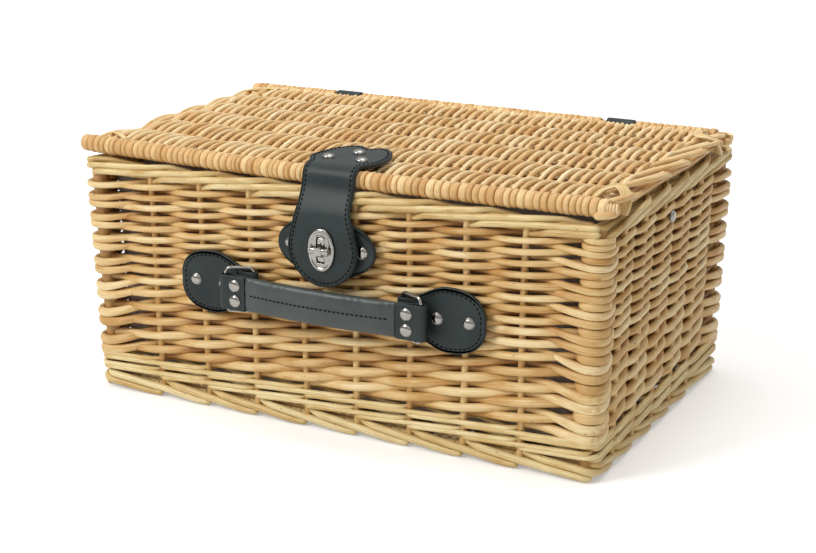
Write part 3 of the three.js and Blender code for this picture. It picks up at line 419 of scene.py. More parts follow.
# fine pebbles and long soft creases
leatherBumps = (("TexVoronoi", 1500.0, 0.0, 0.12, 0.0002), ("TexNoise", 150.0, 4.0, 0.16, 0.0008))
sheenLooks = {
    "leather_slate": {"dark": (31, 39, 39), "light": (46, 54, 53), "gloss": (0.38, 0.52), "metallic": 0.0,
                      "scale": 38.0, "specular": 0.25, "bumps": leatherBumps},
    "leather_grip": {"dark": (54, 60, 58), "light": (70, 76, 73), "gloss": (0.32, 0.44), "metallic": 0.0,
                     "scale": 38.0, "specular": 0.4, "bumps": leatherBumps},
    "thread_black": {"dark": (8, 9, 10), "light": (18, 19, 21), "gloss": (0.6, 0.8), "metallic": 0.0,
                     "scale": 2600.0, "specular": 0.1, "bumps": (("TexNoise", 2600.0, 3.0, 0.4, 0.0001),)},
    "nickel_bright": {"dark": (146, 143, 137), "light": (160, 157, 150), "gloss": (0.1, 0.15),
                      "metallic": 1.0, "scale": 300.0, "specular": 0.5, "bumps": ()}}
leather, gripLeather, thread, nickel = (sheenMaterial(*item) for item in sheenLooks.items())


def clothMaterial(name, look):
    # Woven cotton: waves of threads along each axis added in the bump, and a slight slub in the colour.
    material, tree, shader = newMaterial(name)
    place = addNode(tree, "TexCoord", out="Object")
    waves = [addNode(tree, "TexWave", {"Vector": place, "Scale": look["threads"], "Distortion": 0.6}, "Fac",
                     bands_direction=axis) for axis in "XYZ"]
    height = waves[0]
    for wave in waves[1:]:
        height = addNode(tree, "Math", {0: height, 1: wave}, operation="ADD")
    slub = addNode(tree, "TexNoise", {"Vector": place, "Scale": look["slub"], "Detail": 5.0})
    bump = addNode(tree, "Bump", {"Strength": 0.5, "Distance": 0.0003, "Height": height})
    setInputs(tree, shader, {"Base Color": ramp(tree, slub, ((0.3, look["dark"]), (0.7, look["light"]))),
                             "Roughness": 0.95, "Sheen Weight": 0.3, "Normal": bump})
    return material


cloth = clothMaterial("cloth_lining_weave", {"dark": (176, 166, 160), "light": (196, 186, 178),
                                             "threads": 340.0, "slub": 60.0})
print("materials made")

# The walls are French randing: one weaver begun at each upright, first a thick set, then a thin one

weave = {"rows": 30, "thickRows": 10, "bottom": 35.8, "thickTop": 96.8, "top": 183.8, "thick": (3.6, 3.22),
         "thin": (2.88, 2.4), "depth": 13.8, "samples": 16, "sides": 10, "wobble": 0.4, "thickBegins": -0.95,
         "thickEnds": 9.2, "thinBegins": 8.88, "stagger": 0.16, "pressThick": 2.35, "bandFirst": 42.5,
         "bandStep": 8.25, "bandShrink": 0.079, "paintedShade": 0.5, "steep": 0.82, "lap": 0.03}
weaverSets = ((weave["thick"], weave["thickBegins"], weave["thickEnds"]),
              (weave["thin"], weave["thinBegins"], weave["rows"] - 1.0))
weaverLook = np.random.default_rng(11).random((2, places, 8))

# the weave's phase stands still across a post and goes one on at every upright
knots = []
for upright in range(-places, 2 * places):
    atPost = (upright + 1) % places in sideStart + 1
    knots += [(upright + d, upright) for d in ((-plan["postHalf"], plan["postHalf"]) if atPost else (0,))]
knotPlaces, knotPhases = np.array(knots, float).T


def rowHeight(k):
    # the thick rows' even pitch up to the change of rods, then the thin rows' pitch; row 0 is the
    # first crest, one pitch above the wall's foot
    low = (weave["thickTop"] - weave["bottom"]) / weave["thickRows"]
    high = (weave["top"] - weave["thickTop"]) / (weave["rows"] - weave["thickRows"])
    row, change = np.asarray(k) + 1, weave["thickRows"]
    return weave["bottom"] + low * np.minimum(row, change) + high * np.maximum(row - change, 0)


def bandHeight(band):
    # the bands stacked on a post grow thinner evenly from the lowest to the highest
    return weave["bandFirst"] + weave["bandStep"] * band - weave["bandShrink"] * band ** 2


def bandSquare(sides, thick, band):
    # the squared section of a rod pressed flat in its band, a little narrower than the band's pitch
    pitch = weave["bandStep"] - 2 * weave["bandShrink"] * band
    return circleSection(sides, thick, pitch * 0.49, 0.72)


def waver(at, looks, size):
    # a slow drift that closes after one round: two sines of 9 and 13 waves a round
    turn = at * 2 * math.pi / places
    return size * (np.sin(9 * turn + 6.3 * looks[0]) + 0.7 * np.sin(13 * turn + 6.3 * looks[1])) / 1.7


def weaver(start, at, look, radii, first, last, steep):
    # Swings outside every second upright by a cosine of the uprights passed, made steeper between
    # them on the short sides, and climbs a row at each; where it lies deep in the wall its colour is
    # darkened as painted shade.
    # Across a post it lies pressed flat in its band of the stack, two weavers and then a wrap.
    k = np.interp(at, knotPlaces, knotPhases) - start
    gone = np.clip((k - first) / (last - first), 0, 1)
    radius = (radii[0] + (radii[1] - radii[0]) * gone) * (0.94 + 0.13 * look[4])
    radius = radius * (1 + 0.03 * np.sin(at * 5 + 6 * look[5]))
    outside, inside = -radius, radius - weave["depth"]
    swing = np.cos(math.pi * k)
    if steep:
        swing = np.clip(swing / weave["steep"], -1, 1)
        swing = (3 * swing - swing ** 3) / 2
    out = (outside + inside) / 2 + (outside - inside) / 2 * swing
    # painted shade: the tone falls where the weaver lies deep behind the stakes
    tone = 0.3 + 0.7 * look[6] - weave["paintedShade"] * (outside - out) / (outside - inside)
    z = rowHeight(k) + waver(at, look[:2], weave["wobble"])
    press, pressed = 0 * at, np.zeros((len(at), weave["sides"], 2))
    for corner in posts:
        if (corner - start) % 2 or not 0 <= corner - start < weave["rows"]:
            continue
        crest = (corner - start) // 2 - 1
        band = crest + (crest + 1) // 2
        half = plan["postHalf"]
        share = np.interp(at, [corner - 1, corner - half, corner + half, corner + 1], [0, 1, 1, 0])
        z = z + share * (bandHeight(band) - z)
        flat = smooth((share - 0.55) / 0.45)
        press = press + flat
        out = out + flat * (-weave["pressThick"] - out)
        pressed[flat > 0] = bandSquare(weave["sides"], weave["pressThick"], band)
    out = out + waver(at, look[2:4], 0.2) * (1 - press)
    centres, outward = planPoint(at, out, z)
    return sweep(centres, outward, radius, weave["sides"], tone=tone[None], start=start * 700.0, press=press,
                 pressed=pressed)


def wallWeave(first, last):
    # the stretches of all the weavers between two posts
    parts = []
    for start in range(first - weave["rows"], last + 1):
        for kind, (radii, begins, ends) in enumerate(weaverSets):
            look = weaverLook[kind, start % places]
            shift = weave["stagger"] * (look[7] - 0.5) if begins > 0 else 0.0
            a, b = max(first - weave["lap"], start + begins + shift), min(last + weave["lap"], start + ends)
            if b - a > 0.25:
                at = np.linspace(a, b, max(4, int(round((b - a) * weave["samples"])) + 1))
                parts.append(weaver(start, at, look, radii, begins, ends, first in shortSides))
    return parts


stake = {"radius": 2.9, "out": -7.0, "sideOut": -5.0, "foot": 7.0, "top": 189.0, "lean": 0.012}


def wallStakes(first, last):
    # upright rods between the two rows of the weave, a little bowed and a little thinner upwards
    look = np.random.default_rng(40 + first).random((last - first, 4))
    z = np.linspace(stake["foot"], stake["top"], 16)
    parts = []
    for number, place in enumerate(range(first + 1, last)):
        lean = stake["lean"] * np.sin(z / 34 + 6 * look[number, 0])
        centres, outward = planPoint(place + lean, stake["sideOut" if first in shortSides else "out"], z)
        size = stake["radius"] * (1.03 - 0.08 * z / 190) * (0.95 + 0.1 * look[number, 1])
        parts.append(sweep(centres, outward, size, 10, tone=0.2 + 0.4 * look[number, 2], start=900 * number))
    return parts


walls = {"front_wall": (frontLeft, frontRight), "right_wall": (frontRight, backRight),
         "back_wall": (backRight, backLeft), "left_wall": (backLeft, places - 1)}
for name, (first, last) in walls.items():
    rods = wallWeave(first, last) + wallStakes(first, last)
    makePiece("woven_" + name, rods, willow, "basket", name)
print("walls woven")

# The corner posts: a thick stick, and on two of them a flat wrap after every second weaver

post = {"radius": 6.8, "reach": 12.2, "thick": 2.3, "foot": 7.2, "top": 188.0,
        "wraps": (1, 4, 7, 10, 13, 16, 19, 21, 22), "bare": (frontLeft, backRight)}


def cornerPost(place, seed):
    # each wrap is a closed ring of a pressed rod round the stick at its band's height
    look = np.random.default_rng(seed).random((len(post["wraps"]), 4))
    z = np.linspace(post["foot"], post["top"], 20)
    centres, outward = planPoint(place, plan["innerCorner"] - plan["corner"], z)
    arc = centres - outward * plan["innerCorner"]
    parts = [sweep(arc, outward, post["radius"], 16, tone=0.1)]
    a = around(36)
    away = spots(np.cos(a), np.sin(a), 0)
    for m, band in enumerate(() if place in post["bare"] else post["wraps"]):
        level = bandHeight(band)
        x, y = np.interp(level, z, arc[:, 0]), np.interp(level, z, arc[:, 1])
        reach = post["reach"] - post["thick"] - 0.3 * look[m, 0]
        ring = spots(x + reach * np.cos(a), y + reach * np.sin(a), level + 0.5 * np.sin(a + 6 * look[m, 0]))
        parts.append(sweep(ring, away, 1.0, bandSquare(10, post["thick"], band), closed=True,
                           tone=0.1 + 0.6 * look[m, 2], start=400 * m))
    return parts


corners = {"front_right": frontRight, "back_right": backRight, "back_left": backLeft, "front_left": frontLeft}
for name, place in corners.items():
    rods = cornerPost(place, 60 + place)
    makePiece("wrapped_post_" + name, rods, willow, "basket", "corner_post_" + name)
print("posts wrapped")

# The wale is two rounds of three thin rods above the floor

wale = {"rounds": ((21.4, 5), (30.4, 6)), "rise": 3.0, "rod": 2.05, "outside": -2.2, "inside": -13.0,
        "samples": 14}


def waleRound(level, seed):
    # Each rod runs outside two stakes and behind the third, rising while it is outside.
    look = np.random.default_rng(seed).random((3, 6))
    at = np.linspace(-1.2, places - 1.1, int(places * wale["samples"]))
    parts = []
    for j in range(3):
        f = np.mod((at - j) / 3, 1)
        behind = smooth((f - 0.60) / 0.12) * (1 - smooth((f - 0.92) / 0.12)) + smooth((0.04 - f) / 0.08) * 0.5
        out = wale["outside"] + (wale["inside"] - wale["outside"]) * np.clip(behind, 0, 1)
        up = np.where(f < 0.72, -1 + 2 * f / 0.72, 1 - 2 * (f - 0.72) / 0.28)
        centres, outward = planPoint(at, out, level + wale["rise"] * up + waver(at, look[j, :2], 0.3))
        parts.append(sweep(centres, outward, wale["rod"] * (0.95 + 0.1 * look[j, 2]), 8,
                           tone=0.35 + 0.6 * look[j, 3], start=5000 * j))
    return parts


waleRods = [rod for values in wale["rounds"] for rod in waleRound(*values)]
makePiece("waled_base", waleRods, paleWillow, "basket", "base_wale")

# The foot: each stake's butt runs right and down along the outside to a round end

foot = {"rod": 3.15, "top": 14.0, "bottom": 3.5, "length": 1.95, "samples": 20, "in": -9.0, "swing": 5.6,
        "tuck": 1.2, "cores": ((-12.5, 4.4, 3.2, 1), (-10.0, 9.6, 2.8, 3))}


def footRods():
    # the height falls evenly and the rod swings out by a smooth step, then in again at its end
    look = np.random.default_rng(8).random((places, 6))
    t = np.linspace(0, 1, int(foot["length"] * foot["samples"]))
    out = foot["in"] + foot["swing"] * smooth(t / 0.18) - foot["tuck"] * smooth((t - 0.80) / 0.20)
    fall = foot["top"] + (foot["bottom"] - foot["top"]) * np.clip(t * 1.12 - 0.03, 0, 1)
    parts = []
    for i in range(places):
        z = np.maximum(fall, foot["bottom"]) + 0.4 * (look[i, 0] - 0.5) * np.sin(math.pi * t)
        centres, outward = planPoint(i + foot["length"] * t, out, z)
        size = foot["rod"] * (1.0 - 0.10 * t) * (0.95 + 0.08 * look[i, 1])
        parts.append(sweep(centres, outward, size, 10, tone=0.25 + 0.7 * look[i, 2], start=300 * i))
    return parts


def ringRod(out, z, size, seed):
    # a rod that runs once round the plan at one height
    look = np.random.default_rng(seed).random(4)
    at = np.linspace(-1, places - 1, places * 10, endpoint=False)
    centres, outward = planPoint(at, out, z + waver(at, look[:2], 0.3))
    return sweep(centres, outward, size, 8, closed=True, tone=look[3])


footParts = footRods() + [ringRod(*core) for core in foot["cores"]]
makePiece("foot_rods", footParts, paleWillow, "basket", "foot_border")
print("foot and wale made")

# The rim: each stake's tip runs right, rises over three stakes and goes over the top

rim = {"rod": 2.62, "low": 187.0, "high": 196.3, "length": 2.7, "samples": 18, "cornerEnd": 0.17,
       "start": 4.0, "dive": 3.0, "in": -8.5, "swing": 5.85, "drift": 1.6, "over": 11.4, "tilt": 0.6,
       "cores": ((-9.4, 187.2, 2.8, 31), (-9.2, 192.2, 2.8, 32), (-14.5, 187.0, 2.7, 33),
                 (-15.5, 191.4, 2.7, 34))}


def rimRods():
    # each tip leaves its stake by a smooth step, climbs evenly, and goes in and down by another
    look = np.random.default_rng(21).random((places, 6))
    parts = []
    for i in range(places):
        begin, end = float(i), i + rim["length"] + 0.3 * look[i, 0]
        for corner in shortSides:
            # at these two corners the tips end bluntly, one above another
            if i < corner and end > corner - rim["cornerEnd"]:
                end = corner - rim["cornerEnd"] + 0.02 * (i - corner)
        t = np.linspace(0, 1, max(8, int((end - begin) * rim["samples"])))
        at = begin + (end - begin) * t
        gone = (at - begin) / rim["length"]
        z = rim["low"] - rim["start"] * (1 - smooth(gone / 0.12))
        z = z + (rim["high"] - rim["low"]) * np.clip((gone - 0.05) / 0.75, 0, 1)
        z = z - rim["dive"] * smooth((gone - 0.86) / 0.14)
        out = rim["in"] + rim["swing"] * smooth(gone / 0.14) - rim["drift"] * gone
        out = out - rim["over"] * smooth((gone - 0.74) / 0.26)
        centres, outward = planPoint(at, out, z)
        size = rim["rod"] * (1.06 - 0.12 * gone) * (0.94 + 0.12 * look[i, 1])
        parts.append(sweep(centres, unit(outward + rim["tilt"] * upward), size, 10,
                           tone=0.25 + 0.75 * look[i, 2], start=450 * i))
    return parts


rimParts = rimRods() + [ringRod(*core) for core in rim["cores"]]
# the rim's willow is darkened as painted shade for the rail's shadow
makePiece("rolled_rim", rimParts, shadedRimWillow, "basket", "rim_border")
print("rim rolled")

# Panels of rods over and under groups of cross sticks: the floor and the lid


def wovenPanel(xs, ys, sticks, panel, seed):
    # Rod i passes over group j where i and j are both even or both odd: it is lifted by a cosine of
    # the groups passed.
    look = np.random.default_rng(seed).random((len(xs), 6))
    z, lift = panel["z"], panel["lift"]
    y = np.linspace(ys[0], ys[1], int((ys[1] - ys[0]) / 2.9))
    steps = np.diff(sticks).mean()
    passed = np.interp(y, sticks, np.arange(len(sticks)))
    passed = passed + np.minimum(0, (y - sticks[0]) / steps) + np.maximum(0, (y - sticks[-1]) / steps)
    turn = np.arange(len(xs))[:, None] + 0.16 * (look[:, 5:6] - 0.5)
    height = z + lift * np.cos(math.pi * (passed[None] + turn))
    if "endRise" in panel:
        reach = smooth((ys[0] + 11 - y) / 9) + smooth((y - ys[1] + 11) / 9)
        height = height + (z + panel["endRise"] - height) * np.clip(reach, 0, 1)[None]
    x = xs[:, None] + 0.4 * np.sin(y[None] / 31 + 6.3 * look[:, :1]) + 0.6 * (look[:, 1:2] - 0.5)
    size = panel["rod"] * (0.84 + 0.30 * look[:, 2:3])
    size = size * (1 + 0.08 * np.sin(y[None] / 60 + 6.3 * look[:, 3:4]))
    # the low stretches are painted darker than the raised ones, as painted shade
    tone = 0.44 + 0.55 * look[:, 4:5] - 0.2 * (1 - (height - z) / lift)
    parts = [sweep(spots(x, y, height), upward, size, 8, tone=tone, start=look[:, 5] * 4000)]
    x = np.linspace(-panel["stickHalf"], panel["stickHalf"], 60)
    for number, stickY in enumerate(sticks):
        for place, offset in enumerate(panel["group"]):
            line = spots(x, stickY + offset + 0.5 * np.sin(x / 37 + 3 * number + place), z)
            size = panel["stick"] * (1.04 - 0.08 * ((number + place) % 2))
            parts.append(sweep(line, upward, size, 8, tone=0.95, start=900 * number + 90 * place))
    return parts


floor = {"stickHalf": 217.0, "half": 135.3, "z": 13.4, "rod": 1.7, "stick": 1.6, "lift": 3.3, "pitch": 4.05,
         "sticks": 9, "inset": 4, "group": (0.0,)}
floorXs = np.arange(-floor["stickHalf"] + floor["inset"], floor["stickHalf"] - 3, floor["pitch"])
floorSticks = np.linspace(floor["inset"] - floor["half"], floor["half"] - floor["inset"], floor["sticks"])
floorRods = wovenPanel(floorXs, (-floor["half"], floor["half"]), floorSticks, floor, 77)
makePiece("woven_floor", floorRods, willow, "basket", "floor_panel")

lidXs = np.arange(-lid["panelHalf"], lid["panelHalf"] + 1, lid["pitch"])
lidYs = (lid["frontRail"] + lid["endInset"], lid["backRail"] - lid["endInset"])
makePiece("woven_lid", wovenPanel(lidXs, lidYs, lid["sticks"], lid, 91), lidWillow, "lid", "lid_panel")
print("lid and floor woven")

# The rails: a round stick wrapped edge to edge with flattened rods. The right end is cut: a few pale
# rod ends stand side by side over a thick rod that turns round below them.

wrap = {"core": 4.9, "out": 7.35, "thickness": 1.7, "widths": (4.0, 7.2), "tilt": 0.06, "roundEnd": 6.5,
        "sides": 36, "narrow": 0.86, "narrowShare": 0.25}
railEnd = {"bare": 11.0, "rods": 5, "rod": 1.2, "first": 1.2, "spacing": 2.1, "reach": 4.6, "bulge": 0.11,
           "heights": (-1.8, 0.4, 2.2, 3.8), "steps": (-0.6, 0.0, -0.2, -1.6), "turned": 3.1,
           "turn": math.pi * 0.62, "sweep": (10.5, 6.0, 6.0), "drop": 4.4, "rise": 2.4}


def wrappedRail(y, bare, seed):
    # Each wrap is a closed ring of a flat band; the last ones draw in to a round end.
    random = np.random.default_rng(seed)
    half, z = lid["half"], lid["z"]
    x = np.linspace(-half + 3, half - 6, 60)
    parts = [sweep(spots(x, y, z), upward, wrap["core"], 14, cut=True, tone=0.2)]
    a = around(wrap["sides"])
    away = spots(0, np.cos(a), np.sin(a))
    place = -half + 0.4
    while place < half - railEnd["bare"] - 2.5:
        width = random.uniform(*wrap["widths"])
        width = width * (wrap["narrow"] if random.random() < wrap["narrowShare"] else 1.0)
        middle = place + width / 2
        place += width
        if any(abs(middle - h) < lid["hingeHalf"] + width / 2 for h in bare):
            continue
        look = random.random(5)
        near = np.clip((half - wrap["roundEnd"] - abs(middle)) / wrap["roundEnd"], -0.86, 0)
        reach = (wrap["out"] - wrap["thickness"] - 0.5 * look[0]) * math.sqrt(1 - near ** 2)
        lean = wrap["tilt"] * reach * (look[1] + 0.3)
        ring = spots(middle + lean * np.cos(a + 0.6), y + reach * np.cos(a), z + reach * np.sin(a))
        section = circleSection(12, wrap["thickness"], width / 2 * 0.97, 0.82)
        parts.append(sweep(ring, away, 1.0, section, closed=True, tone=0.22 + 0.42 * look[3],
                           start=200 * look[4]))
    return parts


def railCutEnds(y, outward):
    # upright ends on a shallow arc, and the thick rod as a part of a circle rising evenly
    parts = []
    base = lid["half"] - railEnd["bare"]
    for n in range(railEnd["rods"]):
        away = railEnd["reach"] - railEnd["bulge"] * n * n + np.array(railEnd["steps"])
        line = spots(base + railEnd["first"] + n * railEnd["spacing"], y + outward * away,
                     lid["z"] + np.array(railEnd["heights"]))
        parts.append(sweep(line, outward * backward, railEnd["rod"], 8, cut=True, tone=0.98))
    t = np.linspace(0, 1, 20)
    angle = t * railEnd["turn"]
    wide, out, back = railEnd["sweep"]
    line = spots(base - 3 + wide * np.sin(angle), y + outward * (out - back * (1 - np.cos(angle))),
                 lid["z"] - railEnd["drop"] + railEnd["rise"] * t)
    parts.append(sweep(line, upward, railEnd["turned"], 12, tone=0.55))
    return parts


for side, bare, seed, outward in (("front", (), 51, -1), ("back", lid["hinges"], 52, 1)):
    railY = lid[side + "Rail"]
    rods = wrappedRail(railY, bare, seed) + railCutEnds(railY, outward)
    makePiece(f"wrapped_{side}_rail", rods, lidWillow, "lid", f"lid_{side}_rail")

# The lid's side borders: each group of cross sticks turns back along the edge over the next ones

border = {"inner": 207.0, "tuck": 7.0, "spacing": 4.2, "edge": 217.5, "core": 2.5, "coreStep": 5.5,
          "firstStick": 40.0, "ends": (6.0, 5.0), "shortest": 14.0, "rise": 0.8, "strands": 2,
          "left": {"rod": 2.25, "length": 124.0, "outer": 228.4, "bow": 0.6, "turn": 84.0, "rise": 1.0,
                   "dive": 2.6, "coreDrop": (0.4, 1.6)},
          "right": {"rod": 2.0, "length": 118.0, "outer": 229.0, "bow": 0.0, "turn": 76.0, "rise": 2.6,
                    "dive": 5.0, "coreDrop": (2.8, 4.0)}}


def sideBorder(sign, look, seed):
    # A strand leaves the panel level with its stick, swings out by a smooth step over the turning
    # length, runs back over the earlier ones and tucks under the later ones.
    random = np.random.default_rng(seed)
    low, high = lid["frontRail"] + border["ends"][0], lid["backRail"] - border["ends"][1]
    parts = []
    for number, stick in enumerate((lid["frontRail"] - border["firstStick"], *lid["sticks"])):
        for n in range(border["strands"]):
            r = random.random(5)
            y0 = stick + (n - 1) * border["spacing"] - 4
            y = np.linspace(max(y0, low), min(y0 + look["length"] * (0.94 + 0.12 * r[3]), high), 40)
            if y[-1] - y[0] < border["shortest"]:
                continue
            gone = (y - y0) / look["length"]
            swing = smooth((y - y0) / look["turn"])
            x = border["inner"] + (look["outer"] - n * border["spacing"] - border["inner"]) * swing
            x = x + look["bow"] * np.sin(math.pi * np.clip(gone, 0, 1))
            x = x - border["tuck"] * smooth((gone - 0.62) / 0.38)
            z = lid["z"] + border["rise"] + look["rise"] * np.sin(math.pi * np.clip(gone * 1.2, 0, 1))
            z = z - look["dive"] * smooth((gone - 0.66) / 0.3)
            size = look["rod"] * (1.05 - 0.16 * gone) * (0.92 + 0.14 * r[0])
            parts.append(sweep(spots(sign * x, y, z - 0.4 * n), upward, size, 10, tone=0.45 + 0.5 * r[1],
                               start=500 * number + 60 * n))
    y = np.linspace(low - 3, high + 3, 50)
    for n, drop in enumerate(look["coreDrop"]):
        x = border["edge"] + n * border["coreStep"] + 0.8 * np.sin(y / 23 + n)
        line = spots(sign * x, y, lid["z"] - drop + 0.6 * np.sin(y / 19 + 1 + n))
        parts.append(sweep(line, upward, border["core"], 8, tone=0.35, start=77.0 * n))
    return parts


for side, sign, seed in (("left", -1, 71), ("right", 1, 72)):
    rods = sideBorder(sign, border[side], seed)
    makePiece("plaited_border_" + side, rods, lidWillow, "lid", "lid_border_" + side)
print("rails and borders made")

# Cane ties: a few strands from the panel round the corner of the border and down its outer side,
# given as places from the lid's middle in x, from the rail in y and from the rail's middle in z

tieFan = {"knots": ((211.5, 5.0, 5.8), (209.5, 18.0, 7.2), (210.0, 31.0, 7.8), (215.0, 40.5, 8.0),
                    (223.0, 37.0, 7.6), (229.0, 31.0, 3.4), (230.6, 26.0, -3.0), (229.8, 20.0, -9.0)),
          "centre": (218.5, 20.0), "flat": 0.75}
tieLoop = {"knots": ((199.0, 10.0, 5.2), (207.0, 16.0, 5.6), (214.0, 21.5, 5.4), (221.0, 26.0, 5.0),
                     (228.0, 27.0, 2.0), (230.2, 23.0, -2.4), (228.4, 18.0, -6.4)),
           "centre": (214.0, 10.0), "flat": 0.5}
ties = {"front_right": (1, 1, tieFan, 5, 1.2), "front_left": (-1, 1, tieLoop, 2, 2.1),
        "back_right": (1, -1, tieFan, 4, 1.2), "back_left": (-1, -1, tieLoop, 3, 1.7)}
tie = {"closer": 0.15, "edge": 219.0, "edgeTurn": 8.0, "over": 0.12}


def caneTie(signX, inward, route, strands, size, seed):
    # Strand n is the route, rounded by a running mean, drawn in towards the centre by n steps, all
    # meeting where it begins; past the border's edge its flat side turns outwards.
    look = np.random.default_rng(seed).random((strands, 4))
    knots, centre = np.array(route["knots"]), np.array(route["centre"])
    gone = runOf(knots)
    t = np.linspace(0, gone[-1], 44)
    kernel = np.array([1, 2, 3, 4, 3, 2, 1]) / 16
    line = np.pad(np.stack([np.interp(t, gone, knots[:, k]) for k in range(3)], 1), ((3, 3), (0, 0)), "edge")
    line = np.stack([np.convolve(line[:, k], kernel, "valid") for k in range(3)], 1)
    railY = lid["frontRail"] if inward > 0 else lid["backRail"]
    parts = []
    for n in range(strands):
        share = 1 - tie["closer"] * n * np.interp(t, [0, gone[2], gone[-1]], [0.1, 1.0, 0.7])
        x, y = (centre + (line[:, :2] - centre) * share[:, None]).T
        over = upward + smooth((x - tie["edge"]) / tie["edgeTurn"])[:, None] * np.array([signX * 2.0, 0, 0])
        world = spots(signX * x, railY + inward * y, lid["z"] + line[:, 2] + tie["over"] * n)
        parts.append(sweep(world, over, size * (0.9 + 0.2 * look[n, 0]), circleSection(10, route["flat"]),
                           tone=look[n, 1], start=60 * n))
    return parts


for number, (name, values) in enumerate(ties.items()):
    makePiece("cane_" + name, caneTie(*values, 80 + number), cane, "lid", "corner_tie_" + name)
print("ties made")

# The cloth lining, stretched against the inside of the walls and over the floor

lining = {"out": -17.2, "floorZ": 18.6, "topZ": 183.6, "thickness": 0.9, "corner": 14.0, "around": 240,
          "floorRows": 14, "wallRows": 34, "belly": (0.5, 0.4), "stakes": (47, 42), "slack": 0.25}


def clothSheet():
    # Rows of rounded rectangles at even arc length go out over the floor and up the walls; the cloth
    # bellies a little between stakes and creases at the corners, and the sheet has a thin back.
    rows = [("floor", f) for f in np.linspace(0.04, 0.985, lining["floorRows"])]
    rows += [("wall", f) for f in np.linspace(0.0, 1.0, lining["wallRows"])]
    r, outer, inner = lining["corner"], [], []
    for kind, f in rows:
        z = lining["floorZ"] + (lining["topZ"] - lining["floorZ"]) * f * (kind == "wall")
        hx, hy = halfOf("Width", z) + lining["out"], halfOf("Depth", z) + lining["out"]
        a, b = hx - r, hy - r
        lengths = np.cumsum([0] + [2 * a, math.pi * r / 2, 2 * b, math.pi * r / 2] * 2)
        at = np.linspace(0, lengths[-1], lining["around"], endpoint=False)
        x = np.interp(at, lengths, [-a, a, hx, hx, a, -a, -hx, -hx, -a])
        y = np.interp(at, lengths, [-hy, -hy, -b, b, hy, hy, b, -b, -hy])
        cx, cy = np.clip(x, -a, a), np.clip(y, -b, b)
        away = unit(spots(x - cx, y - cy, 0))
        ring = spots(cx, cy, z) + away * r
        if kind == "floor":
            outer.append(ring * (f, f, 1))
            inner.append(outer[-1] + upward * lining["thickness"])
        else:
            x, y = ring[:, 0], ring[:, 1]
            belly = lining["belly"][0] * np.sin(x / lining["stakes"][0] * 2 * math.pi)
            belly = belly + lining["belly"][1] * np.sin(y / lining["stakes"][1] * 2 * math.pi + z / 60)
            belly = belly * math.sin(math.pi * min(1, f * 1.02)) - lining["slack"]
            outer.append(ring + away * belly[:, None])
            inner.append(outer[-1] + (upward * (1 - f) - away) * lining["thickness"])
    return stacked(outer + inner[::-1])


liningPiece = makePiece("stretched_lining", [clothSheet()], cloth, "basket", "cloth_lining")
print("lining stretched")

# Leather sheets, their stitches and the rivets

centreX = 3.5
thickLeather = 3.0
bothSides = (("left", -1), ("right", 1))


def leatherShell(across, along, place, edge=0.85):
    # A flat sheet on a grid, its edge rolled over by a quarter circle to each face, carried to its
    # place by place(across, along, depth), where depth is how far behind the outer face.
    nv, nu = across.shape
    grid = np.arange(nv * nu).reshape(nv, nu)
    loop = np.concatenate([grid[0], grid[1:, -1], grid[-1, :-1][::-1], grid[1:-1, 0][::-1]])
    a, b = across.ravel(), along.ravel()
    la, lb = a[loop], b[loop]
    area = (la * np.roll(lb, -1) - np.roll(la, -1) * lb).sum()
    ta, tb = np.roll(la, -1) - np.roll(la, 1), np.roll(lb, -1) - np.roll(lb, 1)
    length = np.maximum(np.hypot(ta, tb), 1e-9)
    na, nb = np.sign(area) * tb / length, -np.sign(area) * ta / length
    turns = np.radians([30, 60, 90])
    depths = np.concatenate([edge * (1 - np.cos(turns)), thickLeather - edge * (1 - np.cos(turns[::-1]))])
    offsets = np.concatenate([edge * np.sin(turns), edge * np.sin(turns[::-1])])
    points = place(np.concatenate([a] + [la + na * o for o in offsets] + [a]),
                   np.concatenate([b] + [lb + nb * o for o in offsets] + [b]),
                   np.concatenate([0 * a] + [d + 0 * la for d in depths] + [thickLeather + 0 * a]))
    face = np.stack([grid[:-1, :-1], grid[:-1, 1:], grid[1:, 1:], grid[1:, :-1]], -1).reshape(-1, 4)
    rear = face[:, ::-1] + nv * nu + 6 * len(loop)
    rings = [loop] + [nv * nu + k * len(loop) + np.arange(len(loop)) for k in range(6)]
    rings.append(nv * nu + 6 * len(loop) + loop)
    # the side strips follow the way the outline runs, and the faces the way the grid turns
    order = 1 if area < 0 else -1
    sides = [np.stack([near, far, np.roll(far, -1), np.roll(near, -1)], -1)[:, ::order]
             for near, far in zip(rings, rings[1:])]
    turn = (across[0, 1] - across[0, 0]) * (along[1, 0] - along[0, 0])
    turn = turn - (across[1, 0] - across[0, 0]) * (along[0, 1] - along[0, 0])
    if turn < 0:
        face, rear = face[:, ::-1], rear[:, ::-1]
    return {"points": points, "faces": [face, rear] + sides}, (la, lb, na, nb)


stitch = {"length": 2.5, "width": 0.62, "places": (-1, -0.72, 0, 0.72, 1),
          "sizes": (0.35, 0.85, 1.0, 0.85, 0.35)}


def stitchRow(a, b, pitch, place, closed=False):
    # Short rounded threads at even steps along a line on a sheet, each a six-sided capsule.
    if closed:
        a, b = np.append(a, a[0]), np.append(b, b[0])
    gone = runOf(np.stack([a, b], 1))
    count = int(gone[-1] / pitch)
    at = (np.arange(count) + 0.5) * gone[-1] / count
    half = stitch["length"] / 2

    def spot(d, depth):
        # the place on the sheet a little further along the line, at a depth
        return place(np.interp(at + d, gone, a), np.interp(at + d, gone, b), depth + 0 * at)

    middle = spot(0, 0.0)
    tangent, normal = unit(spot(half * 0.5, 0.0) - middle), unit(spot(0, -1.0) - middle)
    centres = middle[:, None] + tangent[:, None] * np.array(stitch["places"])[None, :, None] * half
    return sweep(centres, normal[:, None], stitch["width"] * np.array(stitch["sizes"]), 6, cut=True)


